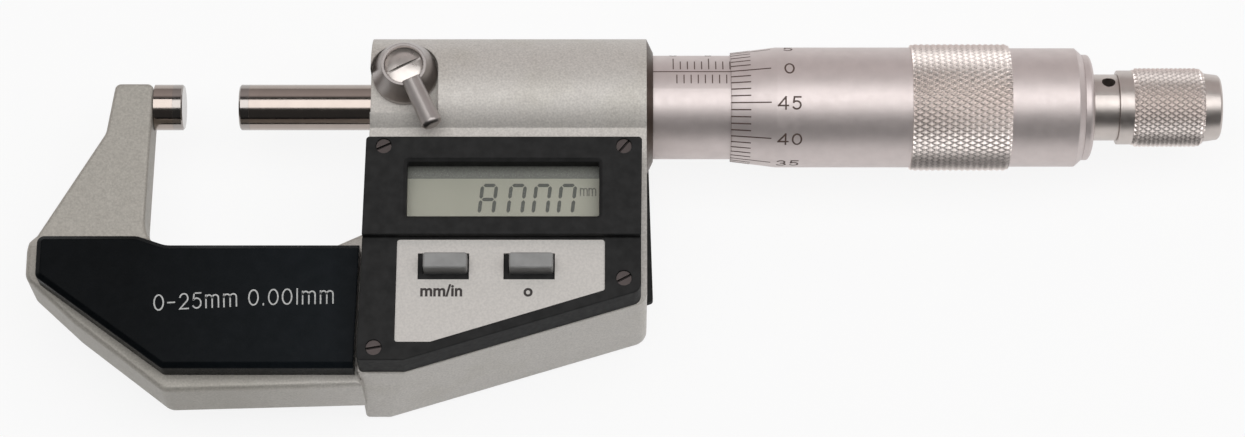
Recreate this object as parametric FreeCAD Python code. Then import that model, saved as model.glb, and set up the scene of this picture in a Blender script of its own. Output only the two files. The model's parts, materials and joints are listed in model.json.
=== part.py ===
"""Digital outside micrometer, 0 to 25 mm, lying on its back.

Millimetres. The spindle axis is X, from the anvil towards the ratchet knob. Y points
away from the bow and Z towards the display. The origin is the centre of the anvil's
measuring face. The spindle is drawn at a reading of 8 mm.
"""
import FreeCAD
import Part

import math
import os

from FreeCAD import Vector

# Measuring line
reading = 8.0
measuring_range = 25.0
spindle_r = 3.25
tip_length = 1.4
anvil_reach = 4.1
anvil_shank_r = 2.2
anvil_shank_length = 4.6
anvil_tip_chamfer = 0.2

# Clearances
fit = 0.02
running = 0.03
thread_play = 0.06
thimble_play = 0.08
button_play = 0.10
lever_gap = 0.15

# Frame: bow
bow_thickness = 10.0
bow_left = -20.5
bow_bottom = -43.6
bow_top = -23.5
bow_corner_y = -27.2
bow_slant_foot_x = -0.64
bow_edge_round = 0.8
arm_top = 2.45
arm_width = 5.4
arm_thickness = 6.4
arm_neck_y = -5.0
arm_neck_width = 6.45
throat_round = 5.5
throat_slant_length = 7.0
throat_slant_height = 3.25
throat_slant_round = 5.0
throat_block_round = 1.0
arm_root_y = -22.6
arm_edge_round = 0.5
arm_tip_round = 0.9
arm_blend = 5.0
bow_side_round = 2.0
bow_side_length = 5.0
bow_bend_x = -13.4
bow_bend_y = -33.75
bow_bend_round = 6.0
bow_bottom_rise = 0.75
bow_end = 0.5
bow_foot_round = 2.0
throat_taper = 0.5

# Frame: block and barrel
block_left = 27.0
block_length = 38.7
block_front = 7.6
block_bottom_left = -41.85
block_bottom_right = -31.6
block_slope_start = 5.4
block_corner_round = 2.2
block_draft = 0.85
block_foot_round = 0.6
block_slope_round = 1.0
wall_lean = 0.9
barrel_r = 9.7
barrel_back_wall = 0.85
barrel_foot = 5.0
barrel_back_top = 6.0
bush_r = 4.4
bush_length = 16.0
chamber_r = 8.2
chamber_length = 16.5
chamber_wall = 1.0

# Sleeve, feed nut and adjusting nut
ring_length = 0.9
ring_tip_r = 7.75
sleeve_r = 7.36
sleeve_length = 30.3
nut_tube_r = 6.1
nut_tube_bore_r = 4.1
nut_overhang = 7.0
nut_thread_length = 13.0
nut_slit_width = 0.7
nut_slit_length = 9.0
nut_slit_count = 3
nut_taper = 0.45
adjusting_nut_r = 6.95
adjusting_nut_length = 5.0
adjusting_nut_offset = 1.5

# Spindle behind the measuring end
thread_r = 3.75
thread_lead = 3.0
thread_run_out = 1.0
shoulder_r = 4.6
shoulder_length = 1.5
tail_r = 3.0
tail_length = 9.0
key_width = 1.2
key_depth = 1.0
key_length = 2.5

# Thimble
scale_zero = 3.9
thimble_edge_r = 7.72
cone_length = 6.4
thimble_r = 8.52
numeral_length = 19.1
grip_length = 13.9
grip_r = 8.99
grip_chamfer = 0.5
web_clearance = 7.0
thimble_web = 9.4
thimble_end_r = 7.5
thimble_end_chamfer = 1.0
cap_length = 1.45
cap_tip_r = 5.4

# Ratchet stop
neck_length = 3.6
neck_r = 4.7
spanner_hole_r = 0.95
spanner_hole_place = 2.2
spanner_hole_depth = 1.8
spanner_hole_angle = 29.0
stud_r = 2.0
stud_length = 8.0
knob_ring_length = 2.1
knob_ring_r = 5.26
knob_grip_length = 10.0
knob_grip_r = 5.6
knob_tip_length = 2.5
knob_tip_r = 4.9
knob_end_r = 4.6
knob_chamfer = 0.3
knob_wall = 1.2
knob_floor = 4.5
stem_r = 1.9
stem_length = 9.8
click_r = 3.8
click_plate = 1.3
click_tooth_height = 0.5
click_tooth_count = 12
click_gap = 0.12
click_lug_width = 1.4
click_lug_height = 0.35
spring_wire_r = 0.25
spring_r = 2.9
spring_turns = 5
spring_runs = 12
ratchet_screw_r = 1.4
ratchet_screw_head_r = 2.5
ratchet_screw_head = 1.3
ratchet_screw_length = 7.0

# Encoder
stator_r = 8.1
stator_bore_r = 5.0
stator_thickness = 1.2
stator_offset = 0.5
stator_tab_z = 1.2
tab_reach = 2.6
tab_gap = 0.4
rotor_gap = 0.5
rotor_disc_r = 7.6
rotor_disc_thickness = 1.0
rotor_sleeve_r = 4.4
rotor_end_play = 0.2

# Insulating plates on the bow
plate_thickness = 3.8
plate_chamfer = 0.7
plate_top = -22.2
plate_top_step = 1.35
plate_bottom = -41.3
plate_left = -18.55
plate_corner_y = -28.1
plate_slant_foot_x = -0.6
plate_step_x = -4.75
plate_step_length = 3.9
plate_right_gap = 1.0
plate_round = 1.0
plate_step_round = 3.0
plate_hollow_round = 4.0

# Black mouldings on the front
moulding_margin_left = -0.3
moulding_margin_right = 0.85
moulding_lean = 0.3
panel_lean = 0.45
display_gap = 0.05
display_depth = 14.3
display_height = 6.6
panel_height = 5.5
panel_bottom_gap = 0.2
panel_wall = 0.9
panel_flat = 5.9
moulding_round = 0.5
moulding_edge_round = 0.2
moulding_split_round = 0.15
panel_foot_round = 0.6
panel_slope_round = 1.2
panel_corner_round = 1.4
window_inset_left = 6.0
window_inset_right = 5.75
window_inset_top = 3.6
window_inset_bottom = 2.75
window_bevel = 0.45
window_round = 0.3
bezel_wall = 2.2
glass_overlap = 1.3
glass_thickness = 0.8
lcd_thickness = 1.2
connector_width = 1.4
connector_inset = 0.3
board_thickness = 1.0
board_seat = 2.4
pocket_depth = 6.4
pocket_margin = 4.2
pocket_inset_top = 3.1
pocket_round = 2.0
pocket_step = 1.2
pocket_flat = 3.0
pocket_slope_inset = 0.3
board_gap = 0.3
face_plate_inset_left = 4.8
face_plate_inset_right = 4.95
face_plate_inset_top = 0.35
face_plate_inset_bottom = 2.6
face_plate_flat = 4.75
face_plate_slope_inset = 0.1
face_plate_thickness = 0.4
face_plate_sink = 0.2
face_plate_lean = 0.1
face_plate_round = 0.4

# Buttons
unit_button_place = 6.67
button_pitch = 11.7
button_drop = 4.0
button_width = 6.0
button_depth = 2.25
button_stand = 2.1
button_round = 0.3
button_corner = 0.35
button_travel = 0.6
button_flange = 0.6
button_flange_height = 0.8
button_hole_width = 7.0
button_hole_depth = 3.75
button_hole_shift_x = -0.3
button_hole_shift_y = -0.19
button_guide = 1.0
pad_margin = 4.4
pad_half_depth = 2.3
pad_lip = 0.7
pad_base = 0.8
pad_air = 0.05

# Screws of the mouldings
cover_screw_r = 1.05
screw_head_clearance = 0.05
cover_screw_shank_r = 0.7
cover_screw_head = 1.0
cover_screw_sink = 0.25
cover_screw_depth = 3.0
slot_width = 0.35
slot_depth = 0.4
screw_inset_top = 1.4
screw_inset_left = 2.75
screw_inset_right = 2.35
lower_screw_shift = 0.85
lower_screw_rise = 1.8
lower_screw_slope_inset = 2.5
upper_screw_angles = (25.0, 50.0)
lower_screw_angles = (10.0, 28.0)

# Rear cover, battery and lid
rear_cover_thickness = 1.5
rear_cover_top = 4.0
rear_cover_inset = 0.9
rear_cover_rise = 4.2
rear_cover_overhang = 0.95
rear_cover_round = 2.0
rear_cover_corner_round = 0.5
rear_cover_corner_rise = 1.15
rear_cover_flat = 3.0
rear_cover_shoulder_y = -5.0
rear_cover_shoulder_inset = 0.6
rear_cover_top_inset = 1.0
rear_cover_chamfer = 0.3
rear_screw_inset = 3.0
rear_screw_rise = 1.0
rear_screw_turn = 40.0
rear_screw_start = 30.0
rear_screw_r = 1.5
rear_screw_shank_r = 0.8
rear_screw_sink = 0.2
battery_place = 20.0
battery_drop = 11.1
battery_r = 5.8
battery_thickness = 5.4
battery_edge = 0.4
battery_bore_r = 6.4
lid_r = 7.4
lid_sink = 0.1
rear_screw_head = 0.7
rear_screw_depth = 2.0
lid_plug_length = 1.0
lid_slot_width = 1.4
lid_slot_depth = 0.6
seal_thickness = 0.3
contact_r = 1.0
contact_hole_r = 1.6

# Spindle lock
lock_place = 4.75
lock_y = 2.1
lock_recess_r = 4.75
lock_floor = 7.3
lock_hub_r = 4.55
lock_rim_r = 3.15
lock_hub_height = 4.0
lock_seat_gap = 0.1
lock_screw_r = 1.5
lock_head_r = 2.7
lock_head_thickness = 1.3
lock_head_sink = 0.4
lock_head_dome = 0.45
lock_head_angle = 27.0
lock_hub_band = 0.8
lock_shoe_length = 1.5
lock_handle_r = 1.45
lock_handle_root_r = 1.25
lock_handle_reach = 10.1
lock_handle_height = 11.3
lock_handle_round = 0.6
lock_handle_angle = -64.9
lock_slot_depth = 6.2

# Worked out from the values above
block_right = block_left + block_length
block_back = barrel_r + barrel_back_wall
spindle_face = reading
spindle_closed = -reading
spindle_open = measuring_range - reading
sleeve_end = block_right + sleeve_length
nut_end = sleeve_end + nut_overhang
thread_start = nut_end - nut_thread_length - spindle_open - thread_lead
thread_end = nut_end - spindle_closed + thread_run_out
thimble_edge = block_right + scale_zero + reading
grip_start = thimble_edge + cone_length + numeral_length
thimble_web_start = nut_end - spindle_closed + web_clearance
thimble_end = thimble_web_start + thimble_web
grip_end = grip_start + grip_length
cap_end = thimble_end + cap_length
neck_end = cap_end + neck_length
knob_ring_end = neck_end + knob_ring_length
knob_grip_end = knob_ring_end + knob_grip_length
knob_end = knob_grip_end + knob_tip_length
chamber_start = block_left + bush_length + chamber_wall
chamber_end = chamber_start + chamber_length
key_x = chamber_end - rotor_end_play - key_length
display_z = block_front + display_height
panel_z = block_front + panel_height
rear_z = -block_back - rear_cover_thickness
board_z = block_front - board_seat
rear_screw_reach = rear_cover_thickness - rear_screw_sink - rear_screw_head + rear_screw_depth - 0.2
lid_low = rear_z + lid_sink
lid_top = -block_back - seal_thickness
battery_low = lid_top + lid_plug_length
battery_high = battery_low + battery_thickness
moulding_left = block_left + moulding_margin_left
moulding_right = block_right - moulding_margin_right
panel_slope_x = moulding_left + panel_flat
display_top = -barrel_r - display_gap
display_split = display_top - display_depth
window_left = moulding_left + window_inset_left
window_right = moulding_right - window_inset_right
window_top = display_top - window_inset_top
window_bottom = display_split + window_inset_bottom
pocket_top = display_top - pocket_inset_top
panel_bottom = block_bottom_left + panel_bottom_gap
face_plate_left = moulding_left + face_plate_inset_left
face_plate_right = moulding_right - face_plate_inset_right
face_plate_top = display_split - face_plate_inset_top
face_plate_bottom = panel_bottom + face_plate_inset_bottom
unit_button_x = face_plate_left + unit_button_place
zero_button_x = unit_button_x + button_pitch
button_y = display_split - button_drop
rear_cover_left = block_left + rear_cover_inset
rear_cover_bottom = block_bottom_left + rear_cover_rise
battery_x = block_left + battery_place
battery_y = display_top - battery_drop
lock_x = block_left + lock_place
lock_slot_bottom = lock_y - lock_slot_depth
slope = (block_bottom_right - block_bottom_left) / (block_length - block_slope_start)

X = Vector(1, 0, 0)
Z = Vector(0, 0, 1)


def rod(x0, x1, r):
    """Cylinder on the spindle axis."""
    return Part.makeCylinder(r, x1 - x0, Vector(x0, 0, 0), X)


def tube(x0, x1, outer, inner):
    return rod(x0, x1, outer).cut(rod(x0, x1, inner))


def post(x, y, z0, z1, r):
    """Cylinder along Z."""
    return Part.makeCylinder(r, z1 - z0, Vector(x, y, z0), Z)


def block(x0, x1, y0, y1, z0, z1):
    return Part.makeBox(x1 - x0, y1 - y0, z1 - z0, Vector(x0, y0, z0))


def turned(profile):
    """Solid of revolution about the spindle axis from (x, radius) points."""
    points = [Vector(x, r, 0) for x, r in profile]
    wire = Part.makePolygon(points + points[:1])
    return Part.Face(wire).revolve(Vector(0, 0, 0), X, 360)


def rounded_wire(corners, z):
    """Closed outline from (x, y, corner radius), with a tangent arc at each radius."""
    edges = []
    stops = []
    count = len(corners)
    for i, (x, y, r) in enumerate(corners):
        here = Vector(x, y, z)
        before = Vector(corners[i - 1][0], corners[i - 1][1], z)
        after = Vector(corners[(i + 1) % count][0], corners[(i + 1) % count][1], z)
        if r <= 0:
            stops.append((here, here, None))
            continue
        back = (before - here).normalize()
        ahead = (after - here).normalize()
        half = back.getAngle(ahead) / 2
        reach = r / math.tan(half)
        middle = (back + ahead).normalize() * (r / math.sin(half) - r)
        stops.append((here + back * reach, here + ahead * reach, here + middle))
    for i, (start, end, middle) in enumerate(stops):
        if middle is not None:
            edges.append(Part.Arc(start, middle, end).toShape())
        following = stops[(i + 1) % count][0]
        if (following - end).Length > 1e-6:
            edges.append(Part.LineSegment(end, following).toShape())
    return Part.Wire(edges)


def plate(corners, z0, z1):
    """Straight sided plate with rounded corners, from z0 up to z1."""
    return Part.Face(rounded_wire(corners, z0)).extrude(Vector(0, 0, z1 - z0))


def tapered(corners_low, corners_high, z0, z1):
    """Drafted body between two outlines with the same corners."""
    return Part.makeLoft([rounded_wire(corners_low, z0), rounded_wire(corners_high, z1)], True, True)


def edges_at(shape, z):
    """Outer edges that lie in the plane z."""
    found = []
    for edge in shape.Edges:
        box = edge.BoundBox
        if abs(box.ZMin - z) < 1e-4 and abs(box.ZMax - z) < 1e-4:
            found.append(edge)
    return found


def slope_y(x, y_left, x_start):
    """Height of a line that is parallel to the block's sloping bottom."""
    return y_left + slope * (x - x_start)


def screw(x, y, z_top, head_r, head, shank_r, depth, angle, toward=1, dome=0.0):
    """Slotted screw along Z: head at z_top, shank pointing away from toward."""
    low = post(x, y, 0, head, head_r)
    if dome > 0:
        ball_r = (head_r * head_r + dome * dome) / (2 * dome)
        low = low.common(Part.makeSphere(ball_r, Vector(x, y, head - ball_r)))
    body = low.fuse(post(x, y, -depth, 0, shank_r))
    slot = block(x - head_r * 1.2, x + head_r * 1.2, y - slot_width / 2, y + slot_width / 2,
                 head - slot_depth, head + 1)
    slot.rotate(Vector(x, y, 0), Z, angle)
    body = body.cut(slot)
    if toward < 0:
        body.rotate(Vector(x, y, 0), X, 180)
    body.translate(Vector(0, 0, z_top - toward * head))
    return body


def cover_screw_places():
    """Position, top height and slot angle of the four moulding screws."""
    left = moulding_left + screw_inset_left
    right = moulding_right - screw_inset_right
    y = display_top - screw_inset_top
    upper = display_z - cover_screw_sink
    lower = panel_z - cover_screw_sink
    return [
        (left, y, upper, upper_screw_angles[0]),
        (right, y, upper, upper_screw_angles[1]),
        (left - lower_screw_shift, panel_bottom + lower_screw_rise, lower, lower_screw_angles[0]),
        (right, slope_y(right, panel_bottom, panel_slope_x) + lower_screw_slope_inset, lower,
         lower_screw_angles[1]),
    ]


def rear_screw_places():
    """Corners of the rear cover, set in by the same amount."""
    left = rear_cover_left + rear_screw_inset
    right = block_right - rear_screw_inset
    top = rear_cover_top - rear_screw_inset
    low = rear_cover_bottom + rear_screw_inset
    return [
        (left, top),
        (right, top),
        (left, low),
        (right, slope_y(right, low, left) + rear_screw_rise),
    ]


def bow_corners():
    """Outline of the bow, from the anvil tip round the outside to the block."""
    inside = block_left + barrel_foot
    seam = block_left - wall_lean + bow_end
    slant_top = bow_top + throat_slant_height
    return [
        (-anvil_reach - arm_width, arm_top, arm_tip_round),
        (-anvil_reach, arm_top, arm_tip_round),
        (-anvil_reach - throat_taper, bow_top, throat_round),
        (block_left - throat_slant_length, bow_top, throat_slant_round),
        (block_left, slant_top, throat_block_round),
        (block_left, slant_top + 2 * throat_block_round, 0),
        (inside, slant_top + 2 * throat_block_round, 0),
        (inside, bow_bottom + barrel_foot, 0),
        (seam, bow_bottom + barrel_foot, 0),
        (seam, bow_bottom + bow_bottom_rise, 0),
        (bow_slant_foot_x, bow_bottom, bow_foot_round),
        (bow_bend_x, bow_bend_y, bow_bend_round),
        (bow_left, bow_corner_y, bow_side_round),
        (bow_left, bow_corner_y + bow_side_length, arm_blend),
        (-anvil_reach - arm_neck_width, arm_neck_y, arm_blend / 2),
    ]


def block_corners(drop):
    """Outline of the block; drop moves its level bottom down for the draft."""
    foot = block_bottom_left - drop
    return [
        (block_left, -barrel_foot, 0),
        (block_left - wall_lean, foot, block_foot_round),
        (block_left + block_slope_start - drop / slope, foot, block_slope_round),
        (block_right, block_bottom_right, block_corner_round),
        (block_right, -barrel_foot, 0),
    ]


def pocket_corners(inset=0.0):
    """Electronics pocket: follows the block's outline inside the moulding screws."""
    left = block_left + pocket_margin + inset
    right = block_right - pocket_margin - inset
    bottom = block_bottom_left + pocket_margin + inset
    return [
        (left, pocket_top - inset, pocket_round - inset),
        (left, bottom, pocket_round - inset),
        (left + pocket_flat, bottom, pocket_round - inset),
        (right, slope_y(right, bottom + pocket_slope_inset, left + pocket_flat), pocket_round - inset),
        (right, pocket_top - inset, pocket_round - inset),
    ]


def frame_body():
    """Forged frame: bow, block and barrel in one, with its bores and pockets."""
    half = bow_thickness / 2
    bow = plate(bow_corners(), -half, half)
    bow = bow.makeFillet(bow_edge_round, edges_at(bow, half) + edges_at(bow, -half))
    thin = (bow_thickness - arm_thickness) / 2
    low = half - thin
    for side in (-1, 1):
        ramp = [(arm_root_y, half), (arm_root_y + thin, low), (arm_top + 1, low), (arm_top + 1, half + 1),
                (arm_root_y, half + 1)]
        points = [Vector(bow_left - 1, y, side * z) for y, z in ramp]
        wedge = Part.Face(Part.makePolygon(points + points[:1])).extrude(Vector(1 - bow_left, 0, 0))
        bow = bow.cut(wedge)
    rim = [edge for z in (-low, low) for edge in edges_at(bow, z) if edge.BoundBox.YLength > fit]
    rim += [edge for z in (-low, low) for edge in edges_at(bow, z) if edge.BoundBox.YMin > arm_top - fit]
    bow = bow.makeFillet(arm_edge_round, rim)
    body = tapered(block_corners(block_draft), block_corners(0), -block_back, block_front)
    barrel = rod(block_left, block_right, barrel_r)
    back = block(block_left, block_right, -barrel_back_top, barrel_back_top, -block_back, 0)
    whole = bow.fuse([body, barrel, back]).removeSplitter()
    whole = whole.cut(frame_bores()).cut(front_pocket()).cut(battery_hole()).cut(lock_recess())
    for x, y, z, angle in cover_screw_places():
        whole = whole.cut(post(x, y, block_front - cover_screw_depth, block_front, cover_screw_shank_r + fit))
    for x, y in rear_screw_places():
        whole = whole.cut(post(x, y, -block_back, -block_back + rear_screw_depth, rear_screw_shank_r + fit))
    return whole


def frame_bores():
    """Everything bored along the spindle axis."""
    anvil_hole = rod(-anvil_reach - anvil_shank_length - 0.1, -anvil_reach + 1, anvil_shank_r + fit)
    bush_hole = rod(block_left - 1, block_left + bush_length, bush_r + fit)
    through = rod(block_left, block_right + 1, spindle_r + 0.5)
    chamber = rod(chamber_start, block_right + 1, chamber_r)
    return anvil_hole.fuse([bush_hole, through, chamber])


def front_pocket():
    """Room for the circuit board, with a seat round its edge and a way to the encoder."""
    seat = plate(pocket_corners(), board_z, block_front + 1)
    deep = plate(pocket_corners(pocket_step), block_front - pocket_depth, block_front)
    tab_x = chamber_start + stator_offset
    way = block(tab_x - tab_gap, tab_x + stator_thickness + tab_gap, pocket_top - tab_reach - tab_gap,
                -stator_bore_r, stator_tab_z - tab_gap, board_z + tab_gap)
    return seat.fuse([deep, way])


def battery_hole():
    """Bore for the coin cell from the back, with a hole for the contact pin."""
    top = battery_high + fit
    bore = post(battery_x, battery_y, -block_back - 1, top, battery_bore_r)
    return bore.fuse(post(battery_x, battery_y, top - 1, block_front - pocket_depth + 1, contact_hole_r))


def lock_recess():
    """Round seat of the lock hub, open towards the display, with the screw hole."""
    edge_x = lock_x + lock_recess_r
    seat = post(lock_x, lock_y, lock_floor, barrel_r + 3, lock_recess_r)
    run = block(block_left - 5, edge_x, lock_slot_bottom, lock_y, lock_floor, barrel_r + 3)
    hole = post(lock_x, lock_y, 0, lock_floor + 1, lock_screw_r + fit)
    return seat.fuse([run, hole])


def anvil():
    shank = rod(-anvil_reach - anvil_shank_length, -anvil_reach, anvil_shank_r)
    return shank.fuse(rod(-anvil_reach, -tip_length, spindle_r))


def anvil_tip():
    edge = anvil_tip_chamfer
    return turned([(-tip_length, 0), (-tip_length, spindle_r), (-edge, spindle_r),
                   (0, spindle_r - edge), (0, 0)])


def spindle_tip():
    edge = anvil_tip_chamfer
    return turned([(spindle_face, 0), (spindle_face, spindle_r - edge), (spindle_face + edge, spindle_r),
                   (spindle_face + tip_length, spindle_r), (spindle_face + tip_length, 0)])


def spindle():
    """Measuring rod, key slot, feed thread, shoulder and hollow tail."""
    front = spindle_face + tip_length
    shoulder = thimble_web_start - shoulder_length
    profile = [
        (front, 0), (front, spindle_r), (thread_start, spindle_r), (thread_start + 0.5, thread_r),
        (thread_end, thread_r), (thread_end + 0.5, spindle_r), (shoulder, spindle_r),
        (shoulder, shoulder_r), (thimble_web_start, shoulder_r), (thimble_web_start, tail_r),
        (thimble_web_start + tail_length, tail_r), (thimble_web_start + tail_length, 0),
    ]
    body = turned(profile)
    slot_start = key_x - spindle_open - 0.3
    slot_end = key_x + key_length - spindle_closed + 0.3
    half = key_width / 2 + running
    slot = block(slot_start, slot_end, -half, half, -spindle_r - 1, -spindle_r + key_depth)
    hole = rod(cap_end - stud_length - 0.5, cap_end, stud_r + fit)
    return body.cut(slot).cut(hole)


def spindle_bush():
    ring = tube(block_left, block_left + bush_length, bush_r, spindle_r + running)
    return ring.cut(post(lock_x, lock_y, 0, bush_r + 1, lock_screw_r + fit))


def collar_ring():
    """Conical ring that closes the gap between barrel and sleeve."""
    bore = sleeve_r + fit
    end = block_right + ring_length
    return turned([(block_right, bore), (block_right, barrel_r - 0.05), (end, ring_tip_r), (end, bore)])


def scale_sleeve():
    """Graduated sleeve, with the small hole for its adjusting spanner at the back."""
    body = tube(block_right, sleeve_end, sleeve_r, nut_tube_r + fit)
    x = block_right + ring_length + 2.2
    return body.cut(post(x, 0, -sleeve_r - 1, -sleeve_r + 0.8, 0.6))


def inner_sleeve():
    """Flange in the barrel, tube under the sleeve, and the slit feed nut with its taper."""
    taper_start = nut_end - adjusting_nut_length - adjusting_nut_offset
    profile = [
        (chamber_end, 0), (chamber_end, chamber_r - fit), (block_right, chamber_r - fit),
        (block_right, nut_tube_r), (taper_start, nut_tube_r), (nut_end, nut_tube_r - nut_taper),
        (nut_end, 0),
    ]
    body = turned(profile)
    body = body.cut(rod(chamber_end, nut_end, thread_r + thread_play))
    body = body.cut(rod(chamber_end, nut_end - nut_thread_length, nut_tube_bore_r))
    for i in range(nut_slit_count):
        slit = block(nut_end - nut_slit_length, nut_end + 1, 0, nut_tube_r + 1,
                     -nut_slit_width / 2, nut_slit_width / 2)
        slit.rotate(Vector(0, 0, 0), X, 360.0 * i / nut_slit_count)
        body = body.cut(slit)
    return body


def adjusting_nut():
    """Ring on the taper of the feed nut, with two spanner notches."""
    start = nut_end - adjusting_nut_length - adjusting_nut_offset
    end = start + adjusting_nut_length
    drop = nut_taper * adjusting_nut_length / (nut_end - start)
    body = turned([(start, nut_tube_r + fit), (start, adjusting_nut_r), (end, adjusting_nut_r),
                   (end, nut_tube_r - drop + fit)])
    for side in (-1, 1):
        notch = block(end - 1.2, end + 1, -0.8, 0.8, 0, 2 * adjusting_nut_r)
        notch.rotate(Vector(0, 0, 0), X, 90 * side)
        body = body.cut(notch)
    return body


def encoder_stator():
    """Fixed sensor board round the spindle, with its tab down to the circuit board."""
    start = chamber_start + stator_offset
    disc = tube(start, start + stator_thickness, stator_r, stator_bore_r)
    tab = block(start, start + stator_thickness, pocket_top - tab_reach, -stator_bore_r - 0.5,
                stator_tab_z, board_z - fit)
    return disc.fuse(tab).removeSplitter()


def encoder_rotor():
    start = chamber_start + stator_offset + stator_thickness + rotor_gap
    return tube(start, start + rotor_disc_thickness, rotor_disc_r, rotor_sleeve_r + fit)


def rotor_sleeve():
    """Carrier that turns with the spindle while the spindle slides through it."""
    start = chamber_start + stator_offset
    body = tube(start, chamber_end - rotor_end_play, rotor_sleeve_r, spindle_r + running)
    shoulder = chamber_start + stator_offset + stator_thickness + rotor_gap + rotor_disc_thickness
    body = body.fuse(tube(shoulder, shoulder + 1.5, rotor_sleeve_r + 1.0, spindle_r + running))
    half = key_width / 2 + fit
    return body.cut(block(key_x - fit, chamber_end, -half, half, -rotor_sleeve_r - 1, 0))


def rotor_key():
    half = key_width / 2
    bar = block(key_x, key_x + key_length, -half, half, -rotor_sleeve_r, -spindle_r + key_depth - 0.1)
    return bar.common(rod(key_x, key_x + key_length, rotor_sleeve_r))


def thimble():
    """Graduated cone, barrel, knurled band and the web that seats on the spindle."""
    bore = sleeve_r + thimble_play
    cone_end = thimble_edge + cone_length
    profile = [
        (thimble_edge, bore), (thimble_edge, thimble_edge_r), (cone_end, thimble_r),
        (grip_start, thimble_r), (grip_start + 0.3, grip_r - 0.1), (grip_start + grip_chamfer, grip_r),
        (grip_end - grip_chamfer, grip_r), (grip_end - 0.3, grip_r - 0.1), (grip_end, thimble_r - 0.1),
        (thimble_end - thimble_end_chamfer, thimble_r - 0.1), (thimble_end, thimble_end_r),
        (thimble_end, tail_r + fit), (thimble_web_start, tail_r + fit), (thimble_web_start, bore),
    ]
    return turned(profile)


def thimble_cap():
    """Rounded cap clamped between the thimble and the ratchet neck."""
    profile = [(thimble_end, stud_r + fit), (thimble_end, thimble_end_r), (thimble_end + 0.7, thimble_end_r)]
    rim = cap_length - 0.7
    for i in range(1, 6):
        a = math.pi / 2 * i / 5
        profile.append((thimble_end + 0.7 + rim * math.sin(a),
                        cap_tip_r + (thimble_end_r - cap_tip_r) * math.cos(a)))
    profile.append((cap_end, stud_r + fit))
    return turned(profile)


def ratchet_teeth(x, direction):
    """Ring of saw teeth that point along direction from the plane x."""
    teeth = []
    step = 2 * math.pi / click_tooth_count
    outer = click_r - 0.1
    inner = stem_r + 0.5
    for i in range(click_tooth_count):
        a0 = i * step
        a1 = a0 + step * 0.96
        tip = x + direction * click_tooth_height
        ring = []
        for r in (inner, outer):
            base0 = Vector(x, r * math.cos(a0), r * math.sin(a0))
            base1 = Vector(x, r * math.cos(a1), r * math.sin(a1))
            top = Vector(tip, r * math.cos(a1), r * math.sin(a1))
            ring.append(Part.makePolygon([base0, base1, top, base0]))
        teeth.append(Part.makeLoft(ring, True, True))
    return teeth


def ratchet_body():
    """Neck with its spanner hole, stud into the spindle, toothed disc and stem."""
    body = rod(cap_end, neck_end, neck_r)
    disc_end = neck_end + click_plate
    body = body.fuse([rod(cap_end - stud_length, cap_end, stud_r), rod(neck_end, disc_end, click_r),
                      rod(neck_end, neck_end + stem_length, stem_r)])
    body = body.fuse(ratchet_teeth(disc_end, 1)).removeSplitter()
    hole = post(cap_end + spanner_hole_place, 0, neck_r - spanner_hole_depth, neck_r + 1, spanner_hole_r)
    hole.rotate(Vector(0, 0, 0), X, -spanner_hole_angle)
    bore = rod(neck_end + stem_length - ratchet_screw_length + 2.5, neck_end + stem_length,
               ratchet_screw_r + fit)
    return body.cut(hole).cut(bore)


def ratchet_knob():
    """Knob shell: ring, grip and tapered tip, hollow for the click ring and spring."""
    bore = knob_ring_r - knob_wall
    floor = knob_end - knob_floor
    profile = [
        (neck_end + running, bore), (neck_end + running, knob_ring_r), (knob_ring_end, knob_ring_r),
        (knob_ring_end, knob_grip_r - 0.15), (knob_ring_end + 0.3, knob_grip_r),
        (knob_grip_end - 0.3, knob_grip_r), (knob_grip_end, knob_grip_r - 0.15),
        (knob_grip_end, knob_tip_r), (knob_end - knob_chamfer, knob_end_r),
        (knob_end, knob_end_r - knob_chamfer), (knob_end, ratchet_screw_head_r + 0.1),
        (knob_end - ratchet_screw_head - 0.2, ratchet_screw_head_r + 0.1),
        (knob_end - ratchet_screw_head - 0.2, ratchet_screw_r + running),
        (floor, ratchet_screw_r + running), (floor, bore),
    ]
    body = turned(profile)
    half = click_lug_width / 2 + fit
    for side in (-1, 1):
        groove = block(neck_end, floor, -half, half, 0, bore + click_lug_height + fit)
        groove.rotate(Vector(0, 0, 0), X, 90 * side)
        body = body.cut(groove)
    return body


def click_start():
    return neck_end + click_plate + 2 * click_tooth_height + click_gap


def click_ring():
    """Toothed ring keyed to the knob, drawn at the top of its click."""
    start = click_start()
    bore = knob_ring_r - knob_wall
    ring = tube(start, start + click_plate, bore - fit, stem_r + running)
    half = click_lug_width / 2
    for side in (-1, 1):
        lug = block(start, start + click_plate, -half, half, stem_r + 1, bore + click_lug_height)
        lug.rotate(Vector(0, 0, 0), X, 90 * side)
        ring = ring.fuse(lug)
    return ring.fuse(ratchet_teeth(start, -1)).removeSplitter()


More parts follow.
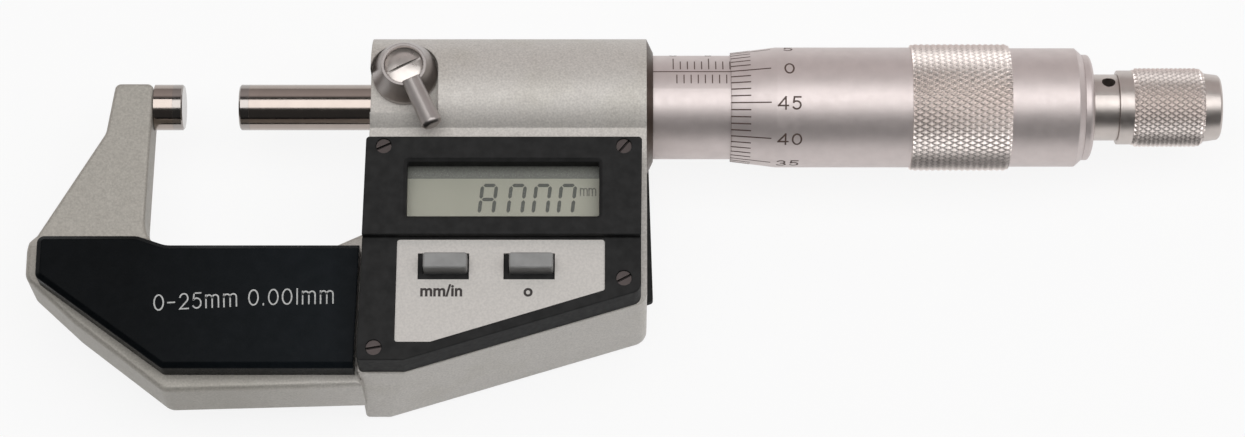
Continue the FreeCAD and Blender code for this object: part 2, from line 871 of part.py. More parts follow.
def ratchet_spring():
    """Coil spring between the click ring and the knob's floor, bent in short straight runs."""
    start = click_start() + click_plate + spring_wire_r + fit
    length = knob_end - knob_floor - spring_wire_r - fit - start
    count = spring_turns * spring_runs
    points = []
    for i in range(count + 1):
        a = 2 * math.pi * i / spring_runs
        points.append(Vector(start + length * i / count, spring_r * math.cos(a), spring_r * math.sin(a)))
    rings = []
    for i, point in enumerate(points):
        along = points[min(i + 1, count)] - points[max(i - 1, 0)]
        outward = Vector(0, point.y, point.z).normalize()
        side = along.cross(outward).normalize() * spring_wire_r
        ahead = outward * spring_wire_r
        ring = [point + ahead, point + side, point - ahead, point - side]
        rings.append(ring)
    faces = [Part.Face(Part.makePolygon(rings[0] + rings[0][:1])),
             Part.Face(Part.makePolygon(rings[-1] + rings[-1][:1]))]
    for low, high in zip(rings, rings[1:]):
        for k in range(4):
            a, b, c, d = low[k], low[(k + 1) % 4], high[(k + 1) % 4], high[k]
            faces.append(Part.Face(Part.makePolygon([a, b, c, a])))
            faces.append(Part.Face(Part.makePolygon([a, c, d, a])))
    spring = Part.makeSolid(Part.makeShell(faces))
    if spring.Volume < 0:
        spring.reverse()
    return spring


def ratchet_screw():
    """Slotted screw in the stem; the knob turns round it."""
    head_start = knob_end - ratchet_screw_head - 0.1
    body = rod(head_start, head_start + ratchet_screw_head, ratchet_screw_head_r)
    body = body.fuse(rod(neck_end + stem_length - ratchet_screw_length + 3.0, head_start, ratchet_screw_r))
    end = head_start + ratchet_screw_head
    return body.cut(block(end - slot_depth, end + 1, -slot_width / 2, slot_width / 2, -3, 3))


def bow_plate(side):
    """Black insulating plate on one side of the bow, with a bevelled edge."""
    right = block_left - plate_right_gap
    corners = [
        (plate_left, plate_top, plate_round),
        (plate_step_x, plate_top, plate_step_round),
        (plate_step_x + plate_step_length, plate_top - plate_top_step, plate_hollow_round),
        (right, plate_top - plate_top_step, 0),
        (right - panel_lean, plate_bottom, 0),
        (plate_slant_foot_x, plate_bottom, plate_round),
        (plate_left, plate_corner_y, plate_round),
    ]
    low = bow_thickness / 2
    body = plate(corners, low, low + plate_thickness)
    rim = [edge for edge in edges_at(body, low + plate_thickness) if edge.BoundBox.XMin < right - 1]
    body = body.makeChamfer(plate_chamfer, rim)
    if side < 0:
        body = body.mirror(Vector(0, 0, 0), Z)
    return body


def moulding_corners():
    """Footprint of the lower black moulding."""
    return [
        (moulding_left, display_split, 0),
        (moulding_left - panel_lean, panel_bottom, panel_foot_round),
        (panel_slope_x, panel_bottom, panel_slope_round),
        (moulding_right, slope_y(moulding_right, panel_bottom, panel_slope_x), panel_corner_round),
        (moulding_right, display_split, 0),
    ]


def display_bezel():
    """Upper moulding: window with a bevelled edge, and a room below for the display."""
    corners = [
        (moulding_left + moulding_lean, display_top, moulding_round),
        (moulding_right + moulding_lean / 2, display_top, moulding_round),
        (moulding_right, display_split, moulding_split_round),
        (moulding_left, display_split, moulding_split_round),
    ]
    body = plate(corners, block_front, display_z)
    body = body.makeFillet(moulding_edge_round, edges_at(body, display_z))
    bevel = window_bevel
    opening = tapered(window_corners(0), window_corners(0), block_front, display_z)
    flare = tapered(window_corners(0), window_corners(bevel), display_z - bevel, display_z + 0.001)
    body = body.cut(opening).cut(flare).cut(display_room())
    for x, y, z, angle in cover_screw_places()[:2]:
        body = body.cut(screw_clearance(x, y, z))
    return body


def window_corners(grow):
    return [
        (window_left - grow, window_bottom - grow, window_round + grow),
        (window_right + grow, window_bottom - grow, window_round + grow),
        (window_right + grow, window_top + grow, window_round + grow),
        (window_left - grow, window_top + grow, window_round + grow),
    ]


def display_room():
    """Room behind the window, open towards the frame."""
    return block(window_left - glass_overlap, window_right + glass_overlap,
                 window_bottom - glass_overlap, window_top + glass_overlap,
                 block_front, display_z - bezel_wall)


def screw_clearance(x, y, z):
    """Counterbore and through hole for one moulding screw."""
    head = post(x, y, z - cover_screw_head, display_z + 1, cover_screw_r + screw_head_clearance)
    return head.fuse(post(x, y, block_front, z, cover_screw_shank_r + running))


def face_plate_corners(grow=0.0):
    flat = face_plate_left + face_plate_flat
    right = face_plate_right + grow
    return [
        (face_plate_left - grow, face_plate_top + grow, face_plate_round),
        (face_plate_left - face_plate_lean - grow, face_plate_bottom - grow, face_plate_round),
        (flat, face_plate_bottom - grow, face_plate_round),
        (right, slope_y(right, face_plate_bottom + face_plate_slope_inset, flat) - grow, face_plate_round),
        (right, face_plate_top + grow, face_plate_round),
    ]


def button_opening(x, width, depth, z0, z1, y=button_y):
    return block(x - width / 2, x + width / 2, y - depth / 2, y + depth / 2, z0, z1)


def button_panel():
    """Lower moulding: seat for the silver plate and guides for the two buttons."""
    body = plate(moulding_corners(), block_front, panel_z)
    body = body.makeFillet(moulding_edge_round, edges_at(body, panel_z))
    seat = panel_z - face_plate_sink - face_plate_thickness
    body = body.cut(plate(face_plate_corners(fit), seat, panel_z + 1))
    room = plate(pocket_corners(), block_front, button_flange_top())
    below_split = block(moulding_left, moulding_right, block_bottom_left, display_split - panel_wall,
                        block_front, panel_z)
    body = body.cut(room.common(below_split))
    for x in (unit_button_x, zero_button_x):
        body = body.cut(button_opening(x, button_width + 2 * button_play, button_depth + 2 * button_play,
                                       block_front, panel_z))
    for x, y, z, angle in cover_screw_places()[2:]:
        body = body.cut(screw_clearance(x, y, z))
    return body


def button_flange_top():
    """Underside of the button guides, where the button flanges stop."""
    return panel_z - face_plate_sink - face_plate_thickness - button_guide


def face_plate():
    top = panel_z - face_plate_sink
    body = plate(face_plate_corners(), top - face_plate_thickness, top)
    for x in (unit_button_x, zero_button_x):
        body = body.cut(button_opening(x + button_hole_shift_x, button_hole_width, button_hole_depth,
                                       block_front, display_z, button_y + button_hole_shift_y))
    return body


def button(x):
    """Moulded button with rounded top edges and a flange below the guide."""
    top = panel_z + button_stand
    base = button_flange_top() - button_flange_height - fit
    corners = [
        (x - button_width / 2, button_y - button_depth / 2, button_corner),
        (x + button_width / 2, button_y - button_depth / 2, button_corner),
        (x + button_width / 2, button_y + button_depth / 2, button_corner),
        (x - button_width / 2, button_y + button_depth / 2, button_corner),
    ]
    body = plate(corners, base, top)
    body = body.makeFillet(button_round, edges_at(body, top))
    grow = button_flange
    flange = button_opening(x, button_width + 2 * grow, button_depth + 2 * grow,
                            base, base + button_flange_height)
    return body.fuse(flange).removeSplitter()


def button_pad():
    """Silicone pad on the circuit board with a dome below each button."""
    base = board_z + board_thickness
    sheet = block(unit_button_x - pad_margin, zero_button_x + pad_margin,
                  button_y - pad_half_depth, button_y + pad_half_depth, base, base + pad_base)
    top = button_flange_top() - button_flange_height - fit - button_travel - pad_air
    domes = [post(x, button_y, base + pad_base, top, button_depth * pad_lip)
             for x in (unit_button_x, zero_button_x)]
    return sheet.fuse(domes).removeSplitter()


def display_window():
    """Clear window that closes the bezel from inside."""
    gap = fit
    return block(window_left - glass_overlap + gap, window_right + glass_overlap - gap,
                 window_bottom - glass_overlap + gap, window_top + glass_overlap - gap,
                 display_z - bezel_wall - glass_thickness, display_z - bezel_wall)


def display_panel():
    top = display_z - bezel_wall - glass_thickness
    return block(window_left - glass_overlap + fit, window_right + glass_overlap - fit,
                 window_bottom - glass_overlap + fit, window_top + glass_overlap - fit,
                 top - lcd_thickness, top)


def connector_strip():
    """Rubber strip that joins the display to the circuit board."""
    top = display_z - bezel_wall - glass_thickness - lcd_thickness
    low = window_bottom - glass_overlap + connector_inset
    return block(window_left, window_right, low, low + connector_width,
                 board_z + board_thickness, top)


def circuit_board():
    return plate(pocket_corners(board_gap), board_z, board_z + board_thickness)


def cover_screws():
    return Part.makeCompound([
        screw(x, y, z, cover_screw_r, cover_screw_head, cover_screw_shank_r,
              z - cover_screw_head - (block_front - cover_screw_depth) - 0.2, angle)
        for x, y, z, angle in cover_screw_places()])


def rear_cover_corners():
    right = block_right + rear_cover_overhang
    bottom = rear_cover_bottom
    left = rear_cover_left
    return [
        (left, rear_cover_top, rear_cover_round),
        (left, bottom, rear_cover_round),
        (left + rear_cover_flat, bottom, rear_cover_round / 2),
        (right, slope_y(right, bottom, left + rear_cover_flat) + rear_cover_corner_rise,
         rear_cover_corner_round),
        (right - rear_cover_shoulder_inset, rear_cover_shoulder_y, rear_cover_round),
        (block_right - rear_cover_top_inset, rear_cover_top, rear_cover_round),
    ]


def rear_cover():
    """Black back cover with the battery lid's opening and its screw holes."""
    body = plate(rear_cover_corners(), rear_z, -block_back)
    body = body.makeChamfer(rear_cover_chamfer, edges_at(body, rear_z))
    body = body.cut(post(battery_x, battery_y, rear_z - 1, -block_back + 1, lid_r + button_play))
    for x, y in rear_screw_places():
        seat = rear_z + rear_screw_sink + rear_screw_head
        body = body.cut(post(x, y, rear_z - 1, seat, rear_screw_r + lever_gap))
        body = body.cut(post(x, y, rear_z, -block_back, rear_screw_shank_r + running))
    return body


def rear_cover_screws():
    return Part.makeCompound([
        screw(x, y, rear_z + rear_screw_sink, rear_screw_r, rear_screw_head, rear_screw_shank_r,
              rear_screw_reach, rear_screw_start + rear_screw_turn * i, -1)
        for i, (x, y) in enumerate(rear_screw_places())])


def battery_lid():
    """Round lid with a coin slot, screwed into the battery bore."""
    lid = post(battery_x, battery_y, lid_low, lid_top, lid_r)
    plug = post(battery_x, battery_y, lid_top, battery_low, battery_bore_r - running)
    half = lid_slot_width / 2
    slot = block(battery_x - lid_r * 0.72, battery_x + lid_r * 0.72, battery_y - half, battery_y + half,
                 lid_low - 1, lid_low + lid_slot_depth)
    hollow = post(battery_x, battery_y, lid_top, battery_low, battery_r - 0.8)
    return lid.fuse(plug).cut(slot).cut(hollow)


def battery_seal():
    """Flat ring between the lid and the frame."""
    ring = post(battery_x, battery_y, lid_top, -block_back, lid_r - 0.2)
    return ring.cut(post(battery_x, battery_y, lid_top, -block_back, battery_bore_r + fit))


def battery():
    body = post(battery_x, battery_y, battery_low, battery_high, battery_r)
    return body.makeChamfer(battery_edge, edges_at(body, battery_low) + edges_at(body, battery_high))


def battery_contact():
    """Sprung pin from the cell up to the circuit board."""
    return post(battery_x, battery_y, battery_high, board_z, contact_r)


def lock_lever():
    """Conical hub with a stepped bore and a round tapered handle."""
    base = lock_floor + lock_seat_gap
    top = base + lock_hub_height
    cone = Part.makeCone(lock_hub_r, lock_rim_r, lock_hub_height - lock_hub_band,
                         Vector(lock_x, lock_y, base + lock_hub_band), Z)
    hub = post(lock_x, lock_y, base, base + lock_hub_band, lock_hub_r).fuse(cone)
    reach = lock_handle_reach
    handle = Part.makeCone(lock_handle_root_r, lock_handle_r, reach, Vector(0, 0, 0), X)
    rim = [edge for edge in handle.Edges if edge.Closed and edge.BoundBox.XMin > reach / 2]
    handle = handle.makeFillet(lock_handle_round, rim)
    handle.rotate(Vector(0, 0, 0), Z, lock_handle_angle)
    handle.translate(Vector(lock_x, lock_y, lock_handle_height))
    bore = post(lock_x, lock_y, base, top + 3, lock_screw_r + fit)
    sink = post(lock_x, lock_y, top - lock_head_sink - lock_head_thickness, top + 3, lock_head_r + 0.05)
    return hub.fuse(handle).cut(bore).cut(sink)


def lock_screw():
    base = lock_floor + lock_seat_gap
    top = base + lock_hub_height - lock_head_sink
    shank = top - lock_head_thickness - shoe_top() - lever_gap
    return screw(lock_x, lock_y, top, lock_head_r, lock_head_thickness, lock_screw_r, shank,
                 lock_head_angle, dome=lock_head_dome)


def shoe_top():
    return spindle_r + lock_shoe_length - 0.4


def lock_shoe():
    """Brass shoe between the lock screw and the spindle, hollowed to the spindle."""
    body = post(lock_x, lock_y, 1.0, shoe_top(), lock_screw_r)
    return body.cut(rod(lock_x - 4, lock_x + 4, spindle_r + running))


NODES = {
    "frame": frame_body,
    "anvil": anvil,
    "anvil_tip": anvil_tip,
    "front_bow_plate": lambda: bow_plate(1),
    "rear_bow_plate": lambda: bow_plate(-1),
    "spindle_bush": spindle_bush,
    "collar_ring": collar_ring,
    "scale_sleeve": scale_sleeve,
    "inner_sleeve": inner_sleeve,
    "adjusting_nut": adjusting_nut,
    "encoder_stator": encoder_stator,
    "display_bezel": display_bezel,
    "button_panel": button_panel,
    "face_plate": face_plate,
    "display_window": display_window,
    "display_panel": display_panel,
    "connector_strip": connector_strip,
    "circuit_board": circuit_board,
    "button_pad": button_pad,
    "cover_screws": cover_screws,
    "rear_cover": rear_cover,
    "rear_cover_screws": rear_cover_screws,
    "battery_lid": battery_lid,
    "battery_seal": battery_seal,
    "battery": battery,
    "battery_contact": battery_contact,
    "lock_shoe": lock_shoe,
    "rotor_sleeve": rotor_sleeve,
    "encoder_rotor": encoder_rotor,
    "rotor_key": rotor_key,
    "spindle": spindle,
    "spindle_tip": spindle_tip,
    "thimble": thimble,
    "thimble_cap": thimble_cap,
    "ratchet_body": ratchet_body,
    "ratchet_screw": ratchet_screw,
    "ratchet_knob": ratchet_knob,
    "click_ring": click_ring,
    "ratchet_spring": ratchet_spring,
    "lock_lever": lock_lever,
    "lock_screw": lock_screw,
    "unit_button": lambda: button(unit_button_x),
    "zero_button": lambda: button(zero_button_x),
}

os.makedirs("parts", exist_ok=True)
for name, make in NODES.items():
    shape = make()
    shape.exportStep("parts/" + name + ".step")
    print(name, len(shape.Solids), shape.isValid(), round(shape.Volume, 1))
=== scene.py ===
import json
import math

import bmesh
import bpy
from mathutils import Matrix, Vector

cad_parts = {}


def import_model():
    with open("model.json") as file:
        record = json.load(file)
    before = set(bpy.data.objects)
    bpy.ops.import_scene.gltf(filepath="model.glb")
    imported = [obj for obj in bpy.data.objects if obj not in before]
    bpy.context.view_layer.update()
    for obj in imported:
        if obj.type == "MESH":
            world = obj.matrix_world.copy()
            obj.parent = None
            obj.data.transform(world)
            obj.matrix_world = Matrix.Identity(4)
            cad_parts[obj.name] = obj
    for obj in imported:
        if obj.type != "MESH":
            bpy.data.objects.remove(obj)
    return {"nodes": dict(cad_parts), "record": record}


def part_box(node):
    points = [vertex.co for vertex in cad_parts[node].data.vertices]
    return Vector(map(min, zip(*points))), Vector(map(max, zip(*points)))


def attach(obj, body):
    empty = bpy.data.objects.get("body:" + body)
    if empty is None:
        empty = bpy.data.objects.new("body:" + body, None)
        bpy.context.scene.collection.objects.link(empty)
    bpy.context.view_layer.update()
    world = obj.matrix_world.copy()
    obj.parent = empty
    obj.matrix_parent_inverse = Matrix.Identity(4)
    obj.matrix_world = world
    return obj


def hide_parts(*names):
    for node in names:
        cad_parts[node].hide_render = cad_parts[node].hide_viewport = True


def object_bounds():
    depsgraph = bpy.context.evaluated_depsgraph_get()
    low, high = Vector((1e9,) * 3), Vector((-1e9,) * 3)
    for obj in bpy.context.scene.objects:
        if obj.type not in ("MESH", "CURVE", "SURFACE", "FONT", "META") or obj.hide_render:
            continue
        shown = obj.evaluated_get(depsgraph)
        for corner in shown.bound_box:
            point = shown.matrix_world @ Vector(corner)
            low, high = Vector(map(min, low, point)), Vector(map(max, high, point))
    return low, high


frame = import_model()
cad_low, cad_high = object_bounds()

MM = 0.001
nodes = frame["nodes"]

# Camera: the photograph's viewpoint, in the shared frame; its length comes from a fit in pixels
PHOTO_WIDTH = 1245.0
FOCAL_PIXELS = 3656.0
SENSOR = 36.0
CAMERA_PLACE = (62.3 * MM, -188.5 * MM, 485.0 * MM)
CAMERA_TILT = math.radians(19.5)

# Thimble, in millimetres from the spindle axis and along it
SLEEVE_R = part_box("scale_sleeve")[1].z / MM
THIMBLE_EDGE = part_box("thimble")[0].x / MM
THIMBLE_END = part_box("thimble")[1].x / MM
EDGE_R = 7.72
BARREL_R = 8.52
BAND_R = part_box("thimble")[1].z / MM
CONE = 6.4
NUMERALS = 19.1
BAND = 13.9
BAND_SEAT_R = BAND_R - 0.55
BAND_TEETH = 64
BAND_PITCH = 1.66
BAND_DEPTH = 0.38
END_STEP_R = BARREL_R - 0.1
END_R = 7.5
END_CHAMFER = 1.0
BORE_R = 7.44
WEB = 9.4
WEB_BORE_R = 3.02
CORNER = 0.08

# Knob of the ratchet
KNOB_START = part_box("ratchet_knob")[0].x / MM
KNOB_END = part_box("ratchet_knob")[1].x / MM
KNOB_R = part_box("ratchet_knob")[1].z / MM
KNOB_RING = 2.07
KNOB_RING_R = 5.26
KNOB_GRIP = 10.0
KNOB_TEETH = 42
KNOB_PITCH = 1.28
KNOB_DEPTH = 0.34
KNOB_TIP_R = 4.9
KNOB_END_R = 4.6
KNOB_CHAMFER = 0.3
KNOB_BORE_R = 4.06
KNOB_FLOOR = 4.5
KNOB_SINK_R = 2.6
KNOB_SINK = 1.5
KNOB_HOLE_R = 1.43

# Spanner hole in the neck of the ratchet, with a dark disc of painted shade above its floor
HOLE_X = 131.05
HOLE_FLOOR_R = 2.9
HOLE_SHADE_R = 0.9
HOLE_ANGLE = 29.0
SHADE_DISC_LOW = 0.02
SHADE_DISC_HIGH = 0.08
SHADE_DISC_SIDES = 36

# Sleeve scale: places are along the axis, and round the sleeve from the datum line
RANGE = 25
EVERY = 5
ZERO_TO_EDGE = 8.15
ZERO_X = THIMBLE_EDGE - ZERO_TO_EDGE
SLEEVE_DATUM = 22.0
DATUM_START = 0.1
DATUM_END = 0.3
DATUM_STEP = 2.0
MARK_STEP = 0.3
MARK_FOOT = 0.55
MARK_LONG = 3.3
MARK_SHORT = 2.3
HALF_FOOT = -0.65
HALF_END = -1.95
MARK_LIFT = 0.014
SLEEVE_MARK_WIDTH = 0.15
SLEEVE_FIGURE = 1.5
SLEEVE_FIGURE_BASE = 4.9
SLEEVE_FIGURE_WIDTH = 0.18

# Thimble scale: divisions on the cone, figures on the barrel
DIVISIONS = 50
THIMBLE_DATUM = 19.8
DIVISION_FOOT = 0.05
DIVISION_LONG = 5.5
DIVISION_SHORT = 2.65
DIVISION_WIDTH = 0.18
THIMBLE_FIGURE = 1.68
THIMBLE_FIGURE_GAP = 0.34
THIMBLE_FIGURE_STRETCH = 1.18
THIMBLE_FIGURE_DROP = 0.1
THIMBLE_FIGURE_WIDTH = 0.24
FIGURE_START = 0.15
ONE_DIGIT_START = 1.15


# Small helpers for meshes

def mesh_piece(name, verts, faces, material, smooth_angle=None):
    """A mesh object from millimetre vertices."""
    mesh = bpy.data.meshes.new(name)
    mesh.from_pydata([(x * MM, y * MM, z * MM) for x, y, z in verts], [], faces)
    mesh.validate()
    mesh.update()
    piece = bpy.data.objects.new(name, mesh)
    bpy.context.scene.collection.objects.link(piece)
    mesh.materials.append(material)
    if smooth_angle is not None:
        mesh.polygons.foreach_set("use_smooth", [True] * len(mesh.polygons))
        mesh.set_sharp_from_angle(angle=math.radians(smooth_angle))
    return piece


def polar(x, r, degrees):
    """Point at radius r round the spindle axis; the angle turns from +Z towards +Y."""
    a = math.radians(degrees)
    return (x, r * math.sin(a), r * math.cos(a))


def rounded_profile(points, radius=0.12, steps=3):
    """Open profile of (x, r) points with each inner corner rounded off."""
    out = [points[0]]
    for before, here, after in zip(points, points[1:], points[2:]):
        a = Vector(before) - Vector(here)
        b = Vector(after) - Vector(here)
        reach = min(radius, a.length * 0.45, b.length * 0.45)
        p = Vector(here) + a.normalized() * reach
        q = Vector(here) + b.normalized() * reach
        for i in range(steps + 1):
            t = i / steps
            out.append(tuple(p * (1 - t) ** 2 + Vector(here) * 2 * t * (1 - t) + q * t * t))
    out.append(points[-1])
    return out


def turned_piece(name, profile, material, around=240, angle=35):
    """Closed ring of revolution from a closed loop of (x, r) points."""
    verts = []
    for i in range(around):
        for x, r in profile:
            verts.append(polar(x, r, 360.0 * i / around))
    n = len(profile)
    faces = []
    for i in range(around):
        j = (i + 1) % around
        for k in range(n):
            m = (k + 1) % n
            faces.append((i * n + k, i * n + m, j * n + m, j * n + k))
    return mesh_piece(name, verts, faces, material, angle)


def knurl_depth(u, v):
    """Depth from 0 at a crest to 1 in a groove, for two crossed sets of V grooves."""
    one = abs((u + v) % 1.0 - 0.5) * 2
    two = abs((u - v) % 1.0 - 0.5) * 2
    return 1.0 - min(one, two)


CHAMFER_REACH = 2.2     # length of a band's chamfer for each unit of its height
CREST = 1.15            # over 1, so that the crests are a little flat


def knurl_band(name, x0, x1, radius, teeth, pitch, depth, material, fine=6, core=0.8, chamfer=0.14):
    """Diamond knurl: a grid round the band whose radius follows crossed grooves."""
    around = teeth * fine
    along = max(2, round((x1 - x0) / pitch * fine * 2))
    verts = []
    for k in range(along + 1):
        x = x0 + (x1 - x0) * k / along
        ease = min(1.0, min(x - x0, x1 - x) / (CHAMFER_REACH * chamfer))
        for i in range(around):
            groove = 1.0 - knurl_depth(i / fine, (x - x0) / pitch)
            flat = min(1.0, groove * CREST)
            r = radius - depth * (1.0 - flat) - (1.0 - ease) * chamfer
            verts.append(polar(x, r, 360.0 * i / around))
    faces = []
    for k in range(along):
        for i in range(around):
            j = (i + 1) % around
            here, above = k * around, (k + 1) * around
            faces.append((here + i, here + j, above + j, above + i))
    inner = radius - core
    start = len(verts)
    for x in (x0, x1):
        for i in range(around):
            verts.append(polar(x, inner, 360.0 * i / around))
    last = along * around
    for i in range(around):
        j = (i + 1) % around
        faces.append((start + i, start + j, j, i))
        faces.append((last + i, last + j, start + around + j, start + around + i))
        faces.append((start + around + i, start + around + j, start + j, start + i))
    piece = mesh_piece(name, verts, faces, material)
    fix_normals(piece)
    return piece


def fix_normals(piece):
    """Turns every face to the outside."""
    mesh = bmesh.new()
    mesh.from_mesh(piece.data)
    bmesh.ops.recalc_face_normals(mesh, faces=mesh.faces)
    mesh.to_mesh(piece.data)
    mesh.free()


def oval(cx, cy, rx, ry, start=0.0, end=360.0, steps=14):
    """Points of an arc of an ellipse, degrees from +X."""
    pts = []
    for i in range(steps + 1):
        a = math.radians(start + (end - start) * i / steps)
        pts.append((cx + rx * math.cos(a), cy + ry * math.sin(a)))
    return pts


# Engraver's figures: strokes in a box one unit high, with each figure's width
FIGURES = {
    "0": (0.62, [oval(0.31, 0.5, 0.31, 0.5, 90, 450, 24)]),
    "1": (0.12, [[(0.06, 0.0), (0.06, 1.0)]]),
    "2": (0.56, [oval(0.27, 0.7, 0.27, 0.3, 165, -35) + [(0.0, 0.0), (0.56, 0.0)]]),
    "3": (0.58, [oval(0.27, 0.75, 0.27, 0.25, 150, -90), oval(0.27, 0.26, 0.31, 0.26, 90, -150)]),
    "4": (0.68, [[(0.52, 0.0), (0.52, 1.0)], [(0.52, 1.0), (0.0, 0.28)], [(0.0, 0.28), (0.68, 0.28)]]),
    "5": (0.58, [[(0.54, 1.0), (0.1, 1.0)], [(0.1, 1.0), (0.05, 0.56)],
                 oval(0.26, 0.33, 0.29, 0.33, 130, -145)]),
    "m": (0.9, [[(0.0, 0.0), (0.0, 0.82)],
                oval(0.21, 0.62, 0.21, 0.2, 180, 0, 8) + [(0.42, 0.0)],
                oval(0.63, 0.62, 0.21, 0.2, 180, 0, 8) + [(0.84, 0.0)]]),
    "-": (0.5, [[(0.0, 0.46), (0.44, 0.46)]]),
    ".": (0.1, [[(0.05, 0.0), (0.05, 0.06)]]),
    " ": (0.35, []),
}


def figure_strokes(text, height, gap=0.24):
    """Strokes of a line of figures that starts at the origin, and the line's length."""
    strokes = []
    at = 0.0
    for letter in text:
        width, parts = FIGURES[letter]
        for part in parts:
            strokes.append([((at + x) * height, y * height) for x, y in part])
        at += width + gap
    return strokes, (at - gap) * height


def ribbon(stroke, width):
    """Left and right edges of a stroke of even width."""
    left = []
    right = []
    count = len(stroke)
    closed = (Vector(stroke[0]) - Vector(stroke[-1])).length < 1e-6
    for i, point in enumerate(stroke):
        here = Vector(point)
        before = after = None
        if i > 0 or closed:
            before = Vector(stroke[i - 1] if i > 0 else stroke[-2])
        if i < count - 1 or closed:
            after = Vector(stroke[i + 1] if i < count - 1 else stroke[1])
        a = (here - before).normalized() if before is not None else (after - here).normalized()
        b = (after - here).normalized() if after is not None else a
        mid = (a + b).normalized() if (a + b).length > 1e-4 else a
        normal = Vector((-mid.y, mid.x))
        stretch = 1.0 / max(0.45, abs(mid.dot(a)))
        end = Vector((0.0, 0.0))
        if before is None:
            end = -a * width / 2
        elif after is None:
            end = a * width / 2
        left.append(here + end + normal * width / 2 * stretch)
        right.append(here + end - normal * width / 2 * stretch)
    return left, right


def stroke_piece(name, strokes, width, place, material, thickness=MARK_LIFT):
    """Thin raised strokes; place(u, v, lift) gives the point in millimetres."""
    verts = []
    faces = []
    for stroke in strokes:
        left, right = ribbon(stroke, width)
        base = len(verts)
        for a, b in zip(left, right):
            verts += [place(a.x, a.y, thickness), place(b.x, b.y, thickness),
                      place(b.x, b.y, -thickness), place(a.x, a.y, -thickness)]
        for i in range(len(left) - 1):
            p = base + i * 4
            q = p + 4
            for k in range(4):
                m = (k + 1) % 4
                faces.append((p + k, p + m, q + m, q + k))
        tail = base + (len(left) - 1) * 4
        faces.append((base + 3, base + 2, base + 1, base))
        faces.append((tail, tail + 1, tail + 2, tail + 3))
    piece = mesh_piece(name, verts, faces, material)
    fix_normals(piece)
    return piece


def split_line(start, end, step):
    """A straight stroke cut into short pieces, so that it can follow a curved surface."""
    count = max(1, math.ceil((Vector(end) - Vector(start)).length / step))
    return [tuple(Vector(start).lerp(Vector(end), i / count)) for i in range(count + 1)]


def refined(stroke, step=0.25):
    """A stroke with every straight part cut into short pieces."""
    points = [stroke[0]]
    for start, end in zip(stroke, stroke[1:]):
        points += split_line(start, end, step)[1:]
    return points


# Materials

# Sockets of the mix node that carry colours
COLOR_A = 6
COLOR_B = 7
COLOR_RESULT = 2

# Painted shade on the bow, darker towards the anvil's end where the light falls off; along the axis
# it starts at the first place, and is full at the second
ENAMEL_PAINTED_SHADE = (30.0, 8.0)
PLATE_PAINTED_SHADE = (22.0, -6.0)


def new_material(name):
    """A material with its node tree and its shader."""
    material = bpy.data.materials.new(name)
    material.use_nodes = True
    tree = material.node_tree
    return material, tree, tree.nodes["Principled BSDF"]


def add(tree, kind, **values):
    """A node whose sockets, or else its own settings, take the values."""
    node = tree.nodes.new(kind)
    for key, value in values.items():
        if key in node.inputs:
            node.inputs[key].default_value = value
        else:
            setattr(node, key, value)
    return node


def noise(tree, scale, detail=2.0, stretch=(1.0, 1.0, 1.0), roughness=0.5):
    """Noise in object space; the scale is in waves per metre."""
    coords = add(tree, "ShaderNodeTexCoord")
    mapping = add(tree, "ShaderNodeMapping")
    mapping.inputs["Scale"].default_value = stretch
    texture = add(tree, "ShaderNodeTexNoise", Scale=scale, Detail=detail, Roughness=roughness)
    tree.links.new(coords.outputs["Object"], mapping.inputs["Vector"])
    tree.links.new(mapping.outputs["Vector"], texture.inputs["Vector"])
    return texture.outputs["Fac"]


def ramp(tree, value, stops):
    """Colour between stops of (position, colour)."""
    node = add(tree, "ShaderNodeValToRGB")
    while len(node.color_ramp.elements) < len(stops):
        node.color_ramp.elements.new(0.5)
    for element, (position, color) in zip(node.color_ramp.elements, stops):
        element.position = position
        element.color = (*color, 1.0)
    tree.links.new(value, node.inputs["Fac"])
    return node.outputs["Color"]


def grey(value):
    return (value, value, value)


def blend_colors(tree, factor, first, second):
    """First colour at factor 0, second at 1."""
    node = add(tree, "ShaderNodeMix", data_type="RGBA")
    tree.links.new(factor, node.inputs["Factor"])
    tree.links.new(first, node.inputs[COLOR_A])
    tree.links.new(second, node.inputs[COLOR_B])
    return node.outputs[COLOR_RESULT]


def scale_range(tree, value, low, high):
    """Noise between 0.3 and 0.7 stretched to low and high."""
    node = add(tree, "ShaderNodeMapRange")
    node.inputs["From Min"].default_value = 0.3
    node.inputs["From Max"].default_value = 0.7
    node.inputs["To Min"].default_value = low
    node.inputs["To Max"].default_value = high
    tree.links.new(value, node.inputs["Value"])
    return node.outputs["Result"]


def bump(tree, shader, heights, edge=0.0):
    """Chain of bumps from (value, distance in millimetres); edge rounds sharp corners."""
    normal = None
    if edge:
        node = add(tree, "ShaderNodeBevel", samples=4)
        node.inputs["Radius"].default_value = edge * MM
        normal = node.outputs["Normal"]
    for value, distance in heights:
        node = add(tree, "ShaderNodeBump", Strength=1.0)
        node.inputs["Distance"].default_value = distance * MM
        tree.links.new(value, node.inputs["Height"])
        if normal is not None:
            tree.links.new(normal, node.inputs["Normal"])
        normal = node.outputs["Normal"]
    if normal is not None:
        tree.links.new(normal, shader.inputs["Normal"])


def along_x(tree, start, end):
    """Factor from 0 to 1 between two places on the X axis, in millimetres."""
    coords = add(tree, "ShaderNodeTexCoord")
    split = add(tree, "ShaderNodeSeparateXYZ")
    node = add(tree, "ShaderNodeMapRange")
    node.inputs["From Min"].default_value = start * MM
    node.inputs["From Max"].default_value = end * MM
    tree.links.new(coords.outputs["Object"], split.inputs["Vector"])
    tree.links.new(split.outputs["X"], node.inputs["Value"])
    return node.outputs["Result"]


